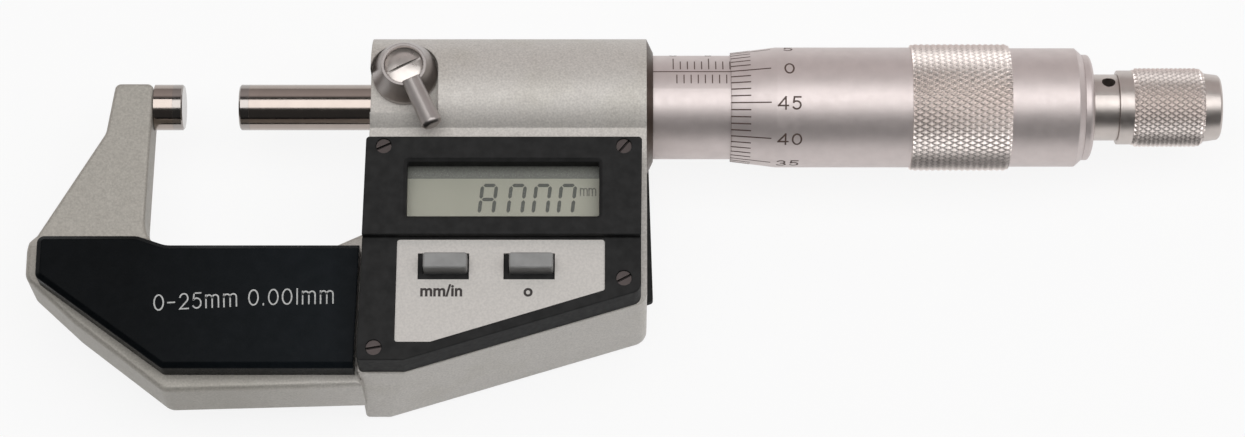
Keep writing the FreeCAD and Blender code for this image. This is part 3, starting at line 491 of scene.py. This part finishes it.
def enamel():
    """Satin silver enamel with a fine grain, slight stains and a painted shade that darkens it towards
    the anvil's end.
    """
    material, tree, shader = new_material("frame_enamel")
    grain = noise(tree, 3600.0, 2.0)
    stain = noise(tree, 130.0, 5.0)
    light = ramp(tree, grain, [(0.3, (0.53, 0.505, 0.475)), (0.7, (0.68, 0.65, 0.61))])
    warm = ramp(tree, grain, [(0.3, (0.49, 0.465, 0.425)), (0.7, (0.64, 0.61, 0.56))])
    painted_shade = ramp(tree, grain, [(0.3, (0.37, 0.35, 0.315)), (0.7, (0.48, 0.455, 0.41))])
    mask = ramp(tree, stain, [(0.48, grey(0.0)), (0.72, grey(1.0))])
    body = blend_colors(tree, mask, light, warm)
    # Painted shade: the enamel darkens towards the anvil's end, where the light falls off.
    color = blend_colors(tree, along_x(tree, *ENAMEL_PAINTED_SHADE), body, painted_shade)
    tree.links.new(color, shader.inputs["Base Color"])
    shader.inputs["Metallic"].default_value = 0.35
    tree.links.new(scale_range(tree, noise(tree, 900.0), 0.46, 0.56), shader.inputs["Roughness"])
    bump(tree, shader, [(noise(tree, 2600.0, 2.0), 0.02), (noise(tree, 350.0, 2.0), 0.03)], 0.25)
    return material


def plastic(name, dark, light, roughness, grain_scale, grain, edge=0.15, gloss=0.5, shade_share=1.0):
    """Plastic or paint; the last argument is the share of the colour left at the anvil's end, a painted
    shade where the light falls off.
    """
    material, tree, shader = new_material(name)
    shader.inputs["Specular IOR Level"].default_value = gloss
    tone = noise(tree, grain_scale * 0.2, 4.0)
    color = ramp(tree, tone, [(0.35, dark), (0.65, light)])
    # Painted shade: the colour darkens towards the anvil's end, where the light falls off.
    if shade_share < 1.0:
        stops = [(0.35, tuple(c * shade_share for c in dark)), (0.65, tuple(c * shade_share for c in light))]
        shaded_tone = ramp(tree, tone, stops)
        color = blend_colors(tree, along_x(tree, *PLATE_PAINTED_SHADE), color, shaded_tone)
    tree.links.new(color, shader.inputs["Base Color"])
    gloss_change = noise(tree, grain_scale * 0.5)
    tree.links.new(scale_range(tree, gloss_change, roughness - 0.06, roughness + 0.06),
                   shader.inputs["Roughness"])
    bump(tree, shader, [(noise(tree, grain_scale, 2.0), grain)], edge)
    return material


def metal(name, color, roughness, lines=0.0, lines_scale=4000.0, grain=0.0, edge=0.1, spread=0.05,
          metallic=1.0):
    """Turned or ground metal: fine rings round the axis, and a grain, by their depth in millimetres."""
    material, tree, shader = new_material(name)
    shader.inputs["Metallic"].default_value = metallic
    tone = noise(tree, 500.0, 4.0)
    darker = tuple(c * 0.93 for c in color)
    tree.links.new(ramp(tree, tone, [(0.3, darker), (0.7, color)]), shader.inputs["Base Color"])
    tree.links.new(scale_range(tree, noise(tree, 1200.0), roughness - spread, roughness + spread),
                   shader.inputs["Roughness"])
    heights = []
    if lines:
        heights.append((noise(tree, lines_scale, 3.0, (1.0, 0.04, 0.04)), lines))
    if grain:
        heights.append((noise(tree, 3500.0, 2.0), grain))
    bump(tree, shader, heights, edge)
    return material


# How far, in millimetres, a wall still darkens the groove beside it with painted shade
GROOVE_REACH = 0.45


def grooved(name, color, groove_shade, roughness):
    """Steel with painted shade in its grooves or slot, darker wherever less of the sky is open."""
    material, tree, shader = new_material(name)
    shader.inputs["Metallic"].default_value = 0.85
    # Painted shade: ambient occlusion darkens the colour in grooves and slots.
    open_share = add(tree, "ShaderNodeAmbientOcclusion", samples=8, only_local=True,
                     Distance=GROOVE_REACH * MM)
    tone = ramp(tree, open_share.outputs["AO"], [(0.37, groove_shade), (0.82, color)])
    tree.links.new(tone, shader.inputs["Base Color"])
    tree.links.new(scale_range(tree, noise(tree, 1200.0), roughness - 0.04, roughness + 0.04),
                   shader.inputs["Roughness"])
    bump(tree, shader, [(noise(tree, 3500.0, 2.0), 0.002)])
    return material


def ink(name, color, roughness=0.6):
    """Printing ink or paint in engraving, slightly uneven."""
    material, tree, shader = new_material(name)
    darker = tuple(c * 0.7 for c in color)
    tone = ramp(tree, noise(tree, 4000.0), [(0.35, darker), (0.65, color)])
    tree.links.new(tone, shader.inputs["Base Color"])
    shader.inputs["Roughness"].default_value = roughness
    return material


def window_glass():
    """Clear window: mostly see-through, with a little gloss and haze."""
    material, tree, shader = new_material("window_clear")
    haze = noise(tree, 700.0)
    tree.links.new(ramp(tree, haze, [(0.3, (0.55, 0.56, 0.53)), (0.7, (0.65, 0.66, 0.63))]),
                   shader.inputs["Base Color"])
    shader.inputs["Alpha"].default_value = 0.08
    shader.inputs["Roughness"].default_value = 0.05
    bump(tree, shader, [(noise(tree, 300.0), 0.001)])
    return material


def display_glass():
    """Grey green reflective display with a slow change of tone."""
    material, tree, shader = new_material("display_green")
    tone = noise(tree, 90.0, 3.0)
    colors = [(0.3, (0.40, 0.40, 0.32)), (0.7, (0.46, 0.455, 0.37))]
    tree.links.new(ramp(tree, tone, colors), shader.inputs["Base Color"])
    shader.inputs["Roughness"].default_value = 0.35
    bump(tree, shader, [(noise(tree, 2500.0), 0.002)])
    return material


MATERIALS = {
    "frame_enamel": enamel(),
    "ground_steel": metal("ground_steel", (0.40, 0.345, 0.312), roughness=0.13,
                          lines=0.0015, lines_scale=5000.0, edge=0.05, spread=0.02),
    "carbide": metal("carbide", (0.36, 0.33, 0.31), roughness=0.14,
                     lines=0.0015, edge=0.05, spread=0.03),
    "satin_chrome": metal("satin_chrome", (0.71, 0.635, 0.62), roughness=0.48,
                          lines=0.003, lines_scale=4500.0, grain=0.002, spread=0.03, metallic=0.8),
    # Painted shade darkens the knurl's grooves.
    "knurl_steel": grooved("knurl_steel", (0.95, 0.865, 0.825), (0.06, 0.05, 0.045), roughness=0.38),
    "knob_steel": metal("knob_steel", (0.60, 0.545, 0.515), roughness=0.38,
                        lines=0.003, lines_scale=3500.0, edge=0.08, spread=0.03),
    "lever_steel": metal("lever_steel", (0.46, 0.425, 0.41), roughness=0.40,
                         grain=0.0015, edge=0.15, spread=0.02),
    "dark_ring": metal("dark_ring", (0.085, 0.06, 0.045), roughness=0.42,
                       lines=0.003, grain=0.003, edge=0.08),
    "black_moulding": plastic("black_moulding", (0.025, 0.025, 0.025), (0.033, 0.033, 0.033),
                              roughness=0.5, grain_scale=3200.0, grain=0.006, gloss=0.03),
    # The bow plate darkens to a painted shade towards the anvil's end.
    "bow_plate_black": plastic("bow_plate_black", (0.0065, 0.0088, 0.0108), (0.0088, 0.0112, 0.0138),
                               roughness=0.3, grain_scale=2400.0, grain=0.004, edge=0.3,
                               gloss=0.05, shade_share=0.35),
    # Painted shade darkens the screws' slots.
    "screw_black": grooved("screw_black", (0.075, 0.062, 0.06), (0.006, 0.005, 0.005), roughness=0.40),
    "face_silver": plastic("face_silver", (0.585, 0.56, 0.53), (0.665, 0.635, 0.60),
                           roughness=0.42, grain_scale=16000.0, grain=0.002, edge=0.03),
    "button_grey": plastic("button_grey", (0.26, 0.26, 0.255), (0.30, 0.30, 0.295),
                           roughness=0.45, grain_scale=3000.0, grain=0.003),
    "window_clear": window_glass(),
    "display_green": display_glass(),
    "board_green": plastic("board_green", (0.02, 0.12, 0.05), (0.03, 0.18, 0.07),
                           roughness=0.35, grain_scale=2000.0, grain=0.004),
    "silicone": plastic("silicone", (0.42, 0.42, 0.40), (0.50, 0.50, 0.47),
                        roughness=0.6, grain_scale=2000.0, grain=0.004),
    "brass": metal("brass", (0.62, 0.45, 0.20), roughness=0.25, lines=0.006),
    "spring_steel": metal("spring_steel", (0.55, 0.55, 0.56), roughness=0.25),
    "cell_steel": metal("cell_steel", (0.70, 0.70, 0.70), roughness=0.18),
}
# Painted shade darkens this screw's slot.
SCREW_BRIGHT = grooved("screw_bright", (0.60, 0.555, 0.525), (0.04, 0.035, 0.03), roughness=0.30)
# Near-black material of the painted shade in the spanner hole.
HOLE_SHADE_MATERIAL = plastic("hole_shade", (0.012, 0.009, 0.007), (0.02, 0.016, 0.012), roughness=0.5,
              grain_scale=3000.0, grain=0.002, edge=0.0, gloss=0.1)
BROWN_INK = ink("brown_ink", (0.11, 0.068, 0.055))
WHITE_INK = ink("white_ink", (0.62, 0.63, 0.62))
SEGMENT_INK = ink("segment_ink", (0.085, 0.09, 0.075))
LABEL_INK = ink("label_ink", (0.035, 0.026, 0.024))
UNIT_INK = ink("unit_ink", (0.19, 0.19, 0.16))
# Colour of the painted shadow along the display's top.
DISPLAY_SHADOW_INK = ink("display_shadow_ink", (0.17, 0.175, 0.15), 0.35)


def dress_nodes():
    """Every solid takes the material of its slot; the lever's screw is brighter than its slot."""
    for entry in frame["record"]["subparts"]:
        node = nodes[entry["node"]]
        node.data.materials.clear()
        node.data.materials.append(MATERIALS[entry["material_slot"]])
    nodes["lock_screw"].data.materials[0] = SCREW_BRIGHT


# Thimble and knob

def thimble_shell():
    """The thimble with its cone, a seat for the knurled band and the knurl."""
    band_start = THIMBLE_EDGE + CONE + NUMERALS
    band_end = band_start + BAND
    web = THIMBLE_END - WEB
    outside = [
        (THIMBLE_EDGE, BORE_R), (THIMBLE_EDGE, EDGE_R), (THIMBLE_EDGE + CONE, BARREL_R),
        (band_start, BARREL_R), (band_start, BAND_SEAT_R), (band_end, BAND_SEAT_R),
        (band_end, END_STEP_R), (THIMBLE_END - END_CHAMFER, END_STEP_R),
        (THIMBLE_END, END_R), (THIMBLE_END, WEB_BORE_R), (web, WEB_BORE_R), (web, BORE_R),
    ]
    profile = rounded_profile(outside + outside[:1], CORNER)[1:]
    shell = turned_piece("thimble_shell", profile, MATERIALS["satin_chrome"])
    fix_normals(shell)
    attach(shell, "spindle")
    band = knurl_band("thimble_knurl", band_start, band_end, BAND_R, BAND_TEETH, BAND_PITCH,
                      BAND_DEPTH, MATERIALS["knurl_steel"])
    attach(band, "spindle")
    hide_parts("thimble")


def knob_shell():
    """The ratchet's knob with its ring, a seat for the knurled band, the knurl and its bore."""
    grip_start = KNOB_START + KNOB_RING
    grip_end = grip_start + KNOB_GRIP
    floor = KNOB_END - KNOB_FLOOR
    sink = KNOB_END - KNOB_SINK
    outside = [
        (KNOB_START, KNOB_BORE_R), (KNOB_START, KNOB_RING_R), (grip_start, KNOB_RING_R),
        (grip_start, KNOB_TIP_R), (grip_end, KNOB_TIP_R), (KNOB_END - KNOB_CHAMFER, KNOB_END_R),
        (KNOB_END, KNOB_END_R - KNOB_CHAMFER), (KNOB_END, KNOB_SINK_R), (sink, KNOB_SINK_R),
        (sink, KNOB_HOLE_R), (floor, KNOB_HOLE_R), (floor, KNOB_BORE_R),
    ]
    profile = rounded_profile(outside + outside[:1], CORNER)[1:]
    shell = turned_piece("knob_shell", profile, MATERIALS["knob_steel"], around=192)
    fix_normals(shell)
    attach(shell, "ratchet")
    band = knurl_band("knob_knurl", grip_start, grip_end, KNOB_R, KNOB_TEETH, KNOB_PITCH,
                      KNOB_DEPTH, MATERIALS["knurl_steel"], fine=8, core=0.75, chamfer=0.3)
    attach(band, "ratchet")
    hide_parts("ratchet_knob")


def hole_oil():
    """A dark disc at the bottom of the spanner hole in the ratchet's neck, painted shade for the deep
    hole.
    """
    outline = [(HOLE_X + u, v) for u, v in oval(0.0, 0.0, HOLE_SHADE_R, HOLE_SHADE_R, steps=SHADE_DISC_SIDES)[:-1]]
    lean = math.radians(HOLE_ANGLE)
    verts = []
    for r in (HOLE_FLOOR_R + SHADE_DISC_LOW, HOLE_FLOOR_R + SHADE_DISC_HIGH):
        for u, v in outline:
            y = v * math.cos(lean) + r * math.sin(lean)
            z = r * math.cos(lean) - v * math.sin(lean)
            verts.append((u, y, z))
    faces = [tuple(reversed(range(SHADE_DISC_SIDES))), tuple(range(SHADE_DISC_SIDES, 2 * SHADE_DISC_SIDES))]
    for i in range(SHADE_DISC_SIDES):
        j = (i + 1) % SHADE_DISC_SIDES
        faces.append((i, j, SHADE_DISC_SIDES + j, SHADE_DISC_SIDES + i))
    piece = mesh_piece("hole_oil", verts, faces, HOLE_SHADE_MATERIAL)
    fix_normals(piece)
    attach(piece, "ratchet")


# Scales

def surface_r(x):
    """Radius of the thimble's outside at x."""
    t = (x - THIMBLE_EDGE) / CONE
    return EDGE_R + (BARREL_R - EDGE_R) * min(1.0, max(0.0, t))


def sleeve_scale():
    """Datum line, millimetre marks above it and half millimetre marks below it."""
    def place(u, v, lift):
        r = SLEEVE_R + lift
        return polar(u, r, SLEEVE_DATUM + math.degrees(v / SLEEVE_R))

    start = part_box("collar_ring")[1].x / MM + DATUM_START
    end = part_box("scale_sleeve")[1].x / MM - DATUM_END
    strokes = [split_line((start, 0.0), (end, 0.0), DATUM_STEP)]
    for i in range(RANGE + 1):
        x = ZERO_X + i
        high = MARK_SHORT if i % EVERY else MARK_LONG
        strokes.append(split_line((x, MARK_FOOT), (x, high), MARK_STEP))
        if i < RANGE:
            strokes.append(split_line((x + 0.5, HALF_FOOT), (x + 0.5, HALF_END), MARK_STEP))
    marks = stroke_piece("sleeve_marks", strokes, SLEEVE_MARK_WIDTH, place, BROWN_INK)
    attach(marks, "frame")
    figures = []
    for i in range(0, RANGE + 1, EVERY):
        line, length = figure_strokes(str(i), SLEEVE_FIGURE)
        left = ZERO_X + i - length / 2
        for stroke in line:
            figures.append(refined([(left + u, SLEEVE_FIGURE_BASE + v) for u, v in stroke]))
    numbers = stroke_piece("sleeve_numerals", figures, SLEEVE_FIGURE_WIDTH, place, BROWN_INK)
    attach(numbers, "frame")


def thimble_scale():
    """Fifty divisions on the cone, with a figure at every fifth."""
    strokes = []
    step = 360.0 / DIVISIONS
    reach = math.radians(step) * BARREL_R
    for i in range(DIVISIONS):
        end = THIMBLE_EDGE + (DIVISION_SHORT if i % EVERY else DIVISION_LONG)
        strokes.append([(THIMBLE_EDGE + DIVISION_FOOT, i * reach), (end, i * reach)])

    def on_cone(u, v, lift):
        # The middle of each mark keeps its angle, and its width stays even along the cone.
        index = round(v / reach)
        offset = v - index * reach
        r = surface_r(u) + lift
        return polar(u, r, THIMBLE_DATUM + index * step + math.degrees(offset / r))

    marks = stroke_piece("thimble_marks", strokes, DIVISION_WIDTH, on_cone, BROWN_INK)
    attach(marks, "spindle")

    def on_barrel(u, v, lift):
        return polar(u, BARREL_R + lift, THIMBLE_DATUM + math.degrees(v / BARREL_R))

    figures = []
    for i in range(0, DIVISIONS, EVERY):
        line, _ = figure_strokes(str(i), THIMBLE_FIGURE, THIMBLE_FIGURE_GAP)
        x = THIMBLE_EDGE + CONE + (ONE_DIGIT_START if i < 10 else FIGURE_START)
        base = i * reach
        for stroke in line:
            figures.append(refined([(x + u * THIMBLE_FIGURE_STRETCH,
                                     base + v - THIMBLE_FIGURE / 2 - THIMBLE_FIGURE_DROP)
                                    for u, v in stroke]))
    numbers = stroke_piece("thimble_numerals", figures, THIMBLE_FIGURE_WIDTH, on_barrel, BROWN_INK)
    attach(numbers, "spindle")


# Display

DIGIT_HEIGHT = 4.62
DIGIT_WIDTH = 2.42
DIGIT_PITCH = 3.46
DIGIT_LEFT = 42.29
DIGIT_TOP = -15.63
AFTER_POINT = 0.5
SEGMENT = 0.5
SEGMENT_GAP = 0.10
SLANT = 0.11
LIT = ("abcefg", "abcef", "abcef", "abcef")
PRINT_SINK = 0.01
DIGIT_LIFT = 0.015
# Darker strip along the display's top: a painted shadow of the window's upper wall
SHADOW_STRIP_LIFT = 0.012
SHADOW_STRIP_LOW = -14.9
SHADOW_STRIP_INSET = 0.05
UNIT_LEFT = 56.5
UNIT_BASE = -17.37
UNIT_HEIGHT = 1.26
UNIT_GAP = 0.16
UNIT_STRETCH = 0.88
UNIT_WIDTH = 0.16


def segment_shapes():
    """Corner points of the six segments that show, in a box of the digit's size."""
    w, h, t, g = DIGIT_WIDTH, DIGIT_HEIGHT, SEGMENT, SEGMENT_GAP
    m = h / 2

    def flat(y, x0, x1):
        return [(x0 + g, y), (x0 + t / 2 + g, y + t / 2), (x1 - t / 2 - g, y + t / 2), (x1 - g, y),
                (x1 - t / 2 - g, y - t / 2), (x0 + t / 2 + g, y - t / 2)]

    def upright(x, y0, y1):
        return [(x, y0 + g), (x - t / 2, y0 + t / 2 + g), (x - t / 2, y1 - t / 2 - g), (x, y1 - g),
                (x + t / 2, y1 - t / 2 - g), (x + t / 2, y0 + t / 2 + g)]

    return {
        "a": flat(h - t / 2, t / 2, w - t / 2),
        "b": upright(w - t / 2, m, h - t / 2),
        "c": upright(w - t / 2, t / 2, m),
        "e": upright(t / 2, t / 2, m),
        "f": upright(t / 2, m, h - t / 2),
        "g": flat(m, t / 2, w - t / 2),
    }


def prism_piece(name, outlines, z0, z1, material):
    """Flat prisms from closed outlines in the display's plane."""
    verts = []
    faces = []
    for outline in outlines:
        base = len(verts)
        n = len(outline)
        verts += [(x, y, z0) for x, y in outline] + [(x, y, z1) for x, y in outline]
        faces.append(tuple(range(base + n, base + 2 * n)))
        faces.append(tuple(reversed(range(base, base + n))))
        for i in range(n):
            j = (i + 1) % n
            faces.append((base + i, base + j, base + n + j, base + n + i))
    piece = mesh_piece(name, verts, faces, material)
    fix_normals(piece)
    return piece


def display_digits():
    """Slanted seven segment figures, the unit beside them and a darker strip along the display's top, a
    painted shadow of the window's upper wall.

    The photograph shows neither the lowest segments nor the decimal point, so they are left out.
    """
    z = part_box("display_panel")[1].z / MM
    shapes = segment_shapes()
    outlines = []
    for i, lit in enumerate(LIT):
        left = DIGIT_LEFT + i * DIGIT_PITCH + (AFTER_POINT if i else 0.0)
        base = DIGIT_TOP - DIGIT_HEIGHT
        for key in lit:
            outlines.append([(left + x + SLANT * y, base + y) for x, y in shapes[key]])
    digits = prism_piece("display_digits", outlines, z - PRINT_SINK, z + DIGIT_LIFT, SEGMENT_INK)
    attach(digits, "frame")
    line, _ = figure_strokes("mm", UNIT_HEIGHT, UNIT_GAP)
    strokes = [[(UNIT_LEFT + u * UNIT_STRETCH, UNIT_BASE + v) for u, v in stroke] for stroke in line]
    unit = stroke_piece("display_unit", strokes, UNIT_WIDTH, lambda u, v, lift: (u, v, z + lift),
                        UNIT_INK)
    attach(unit, "frame")
    # The painted shadow of the window's upper wall, as a strip on the display.
    low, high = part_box("display_window")
    left = low.x / MM + SHADOW_STRIP_INSET
    right = high.x / MM - SHADOW_STRIP_INSET
    top = high.y / MM - SHADOW_STRIP_INSET
    strip = [(left, SHADOW_STRIP_LOW), (right, SHADOW_STRIP_LOW), (right, top), (left, top)]
    shadow_strip = prism_piece("display_shadow_strip", [strip], z - PRINT_SINK, z + SHADOW_STRIP_LIFT, DISPLAY_SHADOW_INK)
    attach(shadow_strip, "frame")


# Printed words and figures

TEXT_THICKNESS = 0.01
LABEL_LIFT = 0.005
LABEL_SIZE = 2.35
LABEL_BASE = -32.5
LABEL_WIDTH = 0.98
LABEL_WEIGHT = 0.07
UNIT_LABEL_X = 34.72
ZERO_LABEL_X = 48.82

# Each line on the bow plate: its figures, left end, base line and slope in degrees
RANGE_LINES = (("0-25mm", -1.85, -33.2, 3.0), ("0.001mm", 11.09, -32.45, 1.4))
RANGE_HEIGHT = 2.16
RANGE_GAP = 0.31
RANGE_STRETCH = 0.94
RANGE_WIDTH = 0.2


def printed_text(name, text, size, place, body, width=1.0, weight=0.0):
    """Text in the built-in face as a thin mesh; place is its left end on the base line."""
    curve = bpy.data.curves.new(name, "FONT")
    curve.body = text
    curve.size = size * MM
    curve.extrude = TEXT_THICKNESS * MM
    curve.offset = weight * MM
    holder = bpy.data.objects.new(name + "_curve", curve)
    bpy.context.scene.collection.objects.link(holder)
    bpy.context.view_layer.update()
    graph = bpy.context.evaluated_depsgraph_get()
    mesh = bpy.data.meshes.new_from_object(holder.evaluated_get(graph))
    bpy.data.objects.remove(holder)
    x, y, z = place
    stretch = Matrix.Diagonal((width, 1.0, 1.0, 1.0))
    mesh.transform(Matrix.Translation((x * MM, y * MM, z * MM)) @ stretch)
    piece = bpy.data.objects.new(name, mesh)
    bpy.context.scene.collection.objects.link(piece)
    mesh.materials.clear()
    mesh.materials.append(LABEL_INK)
    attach(piece, body)
    return piece


def labels():
    """The two button labels on the face plate."""
    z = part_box("face_plate")[1].z / MM + LABEL_LIFT
    for name, text, x in (("unit_label", "mm/in", UNIT_LABEL_X), ("zero_label", "o", ZERO_LABEL_X)):
        printed_text(name, text, LABEL_SIZE, (x, LABEL_BASE, z), "frame",
                     LABEL_WIDTH, LABEL_WEIGHT)


def range_figures():
    """Measuring range and resolution on the front bow plate, as light engraved figures."""
    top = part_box("front_bow_plate")[1].z / MM
    strokes = []
    for text, x, y, degrees in RANGE_LINES:
        rise = math.radians(degrees)
        line, _ = figure_strokes(text, RANGE_HEIGHT, RANGE_GAP)
        for stroke in line:
            strokes.append([(x + (u * math.cos(rise) - v * math.sin(rise)) * RANGE_STRETCH,
                             y + u * math.sin(rise) + v * math.cos(rise)) for u, v in stroke])
    figures = stroke_piece("range_figures", strokes, RANGE_WIDTH,
                           lambda u, v, lift: (u, v, top + lift), WHITE_INK)
    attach(figures, "frame")


# Stage, lights and camera; lengths here are in metres

FLOOR_HALF = 2.0
FLOOR_TONE = 0.86
FLOOR_GLOW = 0.88       # share of its own light that the camera and mirrors see

# The sky's colour by angle from overhead, in degrees; the far side is positive
SKY = (
    (-110, grey(0.5)), (-98, grey(0.15)), (-90, grey(0.05)), (-30, grey(0.05)),
    (-20, grey(0.6)), (16, grey(0.6)), (21, grey(0.08)), (31, grey(0.08)),
    (41, (0.64, 0.59, 0.585)), (90, (0.42, 0.385, 0.38)),
)

LAMP_OFFSET_X = 0.22
LAMP_Y = -0.02
LAMP_Z = 0.62
LAMP_WIDTH = 1.1
LAMP_HEIGHT = 0.46
LAMP_POWER = 2.75


def stage():
    """White floor that looks evenly lit in the picture and in mirrors, and is plain elsewhere."""
    z = cad_low.z / MM
    half = FLOOR_HALF / MM
    corners = [(-half, -half, z), (half, -half, z), (half, half, z), (-half, half, z)]
    material, tree, shader = new_material("floor_white")
    shader.inputs["Base Color"].default_value = (*grey(FLOOR_TONE), 1.0)
    shader.inputs["Roughness"].default_value = 0.9
    glow = add(tree, "ShaderNodeEmission", Strength=1.0)
    path = add(tree, "ShaderNodeLightPath")
    either = add(tree, "ShaderNodeMath", operation="MAXIMUM")
    also = add(tree, "ShaderNodeMath", operation="MAXIMUM")
    share = add(tree, "ShaderNodeMath", operation="MULTIPLY")
    share.inputs[1].default_value = FLOOR_GLOW
    mix = add(tree, "ShaderNodeMixShader")
    tree.links.new(path.outputs["Is Camera Ray"], either.inputs[0])
    tree.links.new(path.outputs["Is Glossy Ray"], either.inputs[1])
    tree.links.new(either.outputs[0], also.inputs[0])
    tree.links.new(path.outputs["Is Transmission Ray"], also.inputs[1])
    tree.links.new(also.outputs[0], share.inputs[0])
    tree.links.new(share.outputs[0], mix.inputs["Fac"])
    tree.links.new(shader.outputs["BSDF"], mix.inputs[1])
    tree.links.new(glow.outputs["Emission"], mix.inputs[2])
    output = [n for n in tree.nodes if n.type == "OUTPUT_MATERIAL"][0]
    tree.links.new(mix.outputs["Shader"], output.inputs["Surface"])
    floor = mesh_piece("floor", corners, [(0, 1, 2, 3)], material)


def world():
    """Studio light by direction, round the X axis."""
    scene_world = bpy.data.worlds.new("studio")
    bpy.context.scene.world = scene_world
    scene_world.use_nodes = True
    tree = scene_world.node_tree
    coords = add(tree, "ShaderNodeTexCoord")
    split = add(tree, "ShaderNodeSeparateXYZ")
    angle = add(tree, "ShaderNodeMath", operation="ARCTAN2")
    turn = add(tree, "ShaderNodeMath", operation="MULTIPLY_ADD")
    turn.inputs[1].default_value = 0.5 / math.pi
    turn.inputs[2].default_value = 0.5
    tree.links.new(coords.outputs["Generated"], split.inputs["Vector"])
    tree.links.new(split.outputs["Y"], angle.inputs[0])
    tree.links.new(split.outputs["Z"], angle.inputs[1])
    tree.links.new(angle.outputs[0], turn.inputs[0])

    color = ramp(tree, turn.outputs[0], [(degrees / 360.0 + 0.5, tone) for degrees, tone in SKY])
    background = tree.nodes["Background"]
    background.inputs["Strength"].default_value = 1.0
    tree.links.new(color, background.inputs["Color"])


def area_light(name, place, target, width, height, power):
    """A rectangular lamp that faces its target."""
    data = bpy.data.lights.new(name, "AREA")
    data.shape = "RECTANGLE"
    data.size = width
    data.size_y = height
    data.energy = power
    lamp = bpy.data.objects.new(name, data)
    bpy.context.scene.collection.objects.link(lamp)
    lamp.location = place
    direction = Vector(target) - Vector(place)
    lamp.rotation_euler = direction.to_track_quat("-Z", "Y").to_euler()


def lights():
    """One soft lamp overhead."""
    x = (cad_low.x + cad_high.x) / 2 + LAMP_OFFSET_X
    area_light("overhead", (x, LAMP_Y, LAMP_Z), (x, 0.0, 0.0), LAMP_WIDTH, LAMP_HEIGHT, LAMP_POWER)


def camera():
    """The photograph's camera."""
    data = bpy.data.cameras.new("camera")
    data.sensor_width = SENSOR
    data.lens = FOCAL_PIXELS / PHOTO_WIDTH * SENSOR
    data.clip_start = 0.01
    eye = bpy.data.objects.new("camera", data)
    eye.location = CAMERA_PLACE
    eye.rotation_euler = (CAMERA_TILT, 0.0, 0.0)
    bpy.context.scene.collection.objects.link(eye)
    bpy.context.scene.camera = eye


camera()
dress_nodes()
thimble_shell()
knob_shell()
hole_oil()
sleeve_scale()
thimble_scale()
display_digits()
labels()
range_figures()
stage()
world()
lights()
bpy.context.scene.view_settings.view_transform = "Standard"
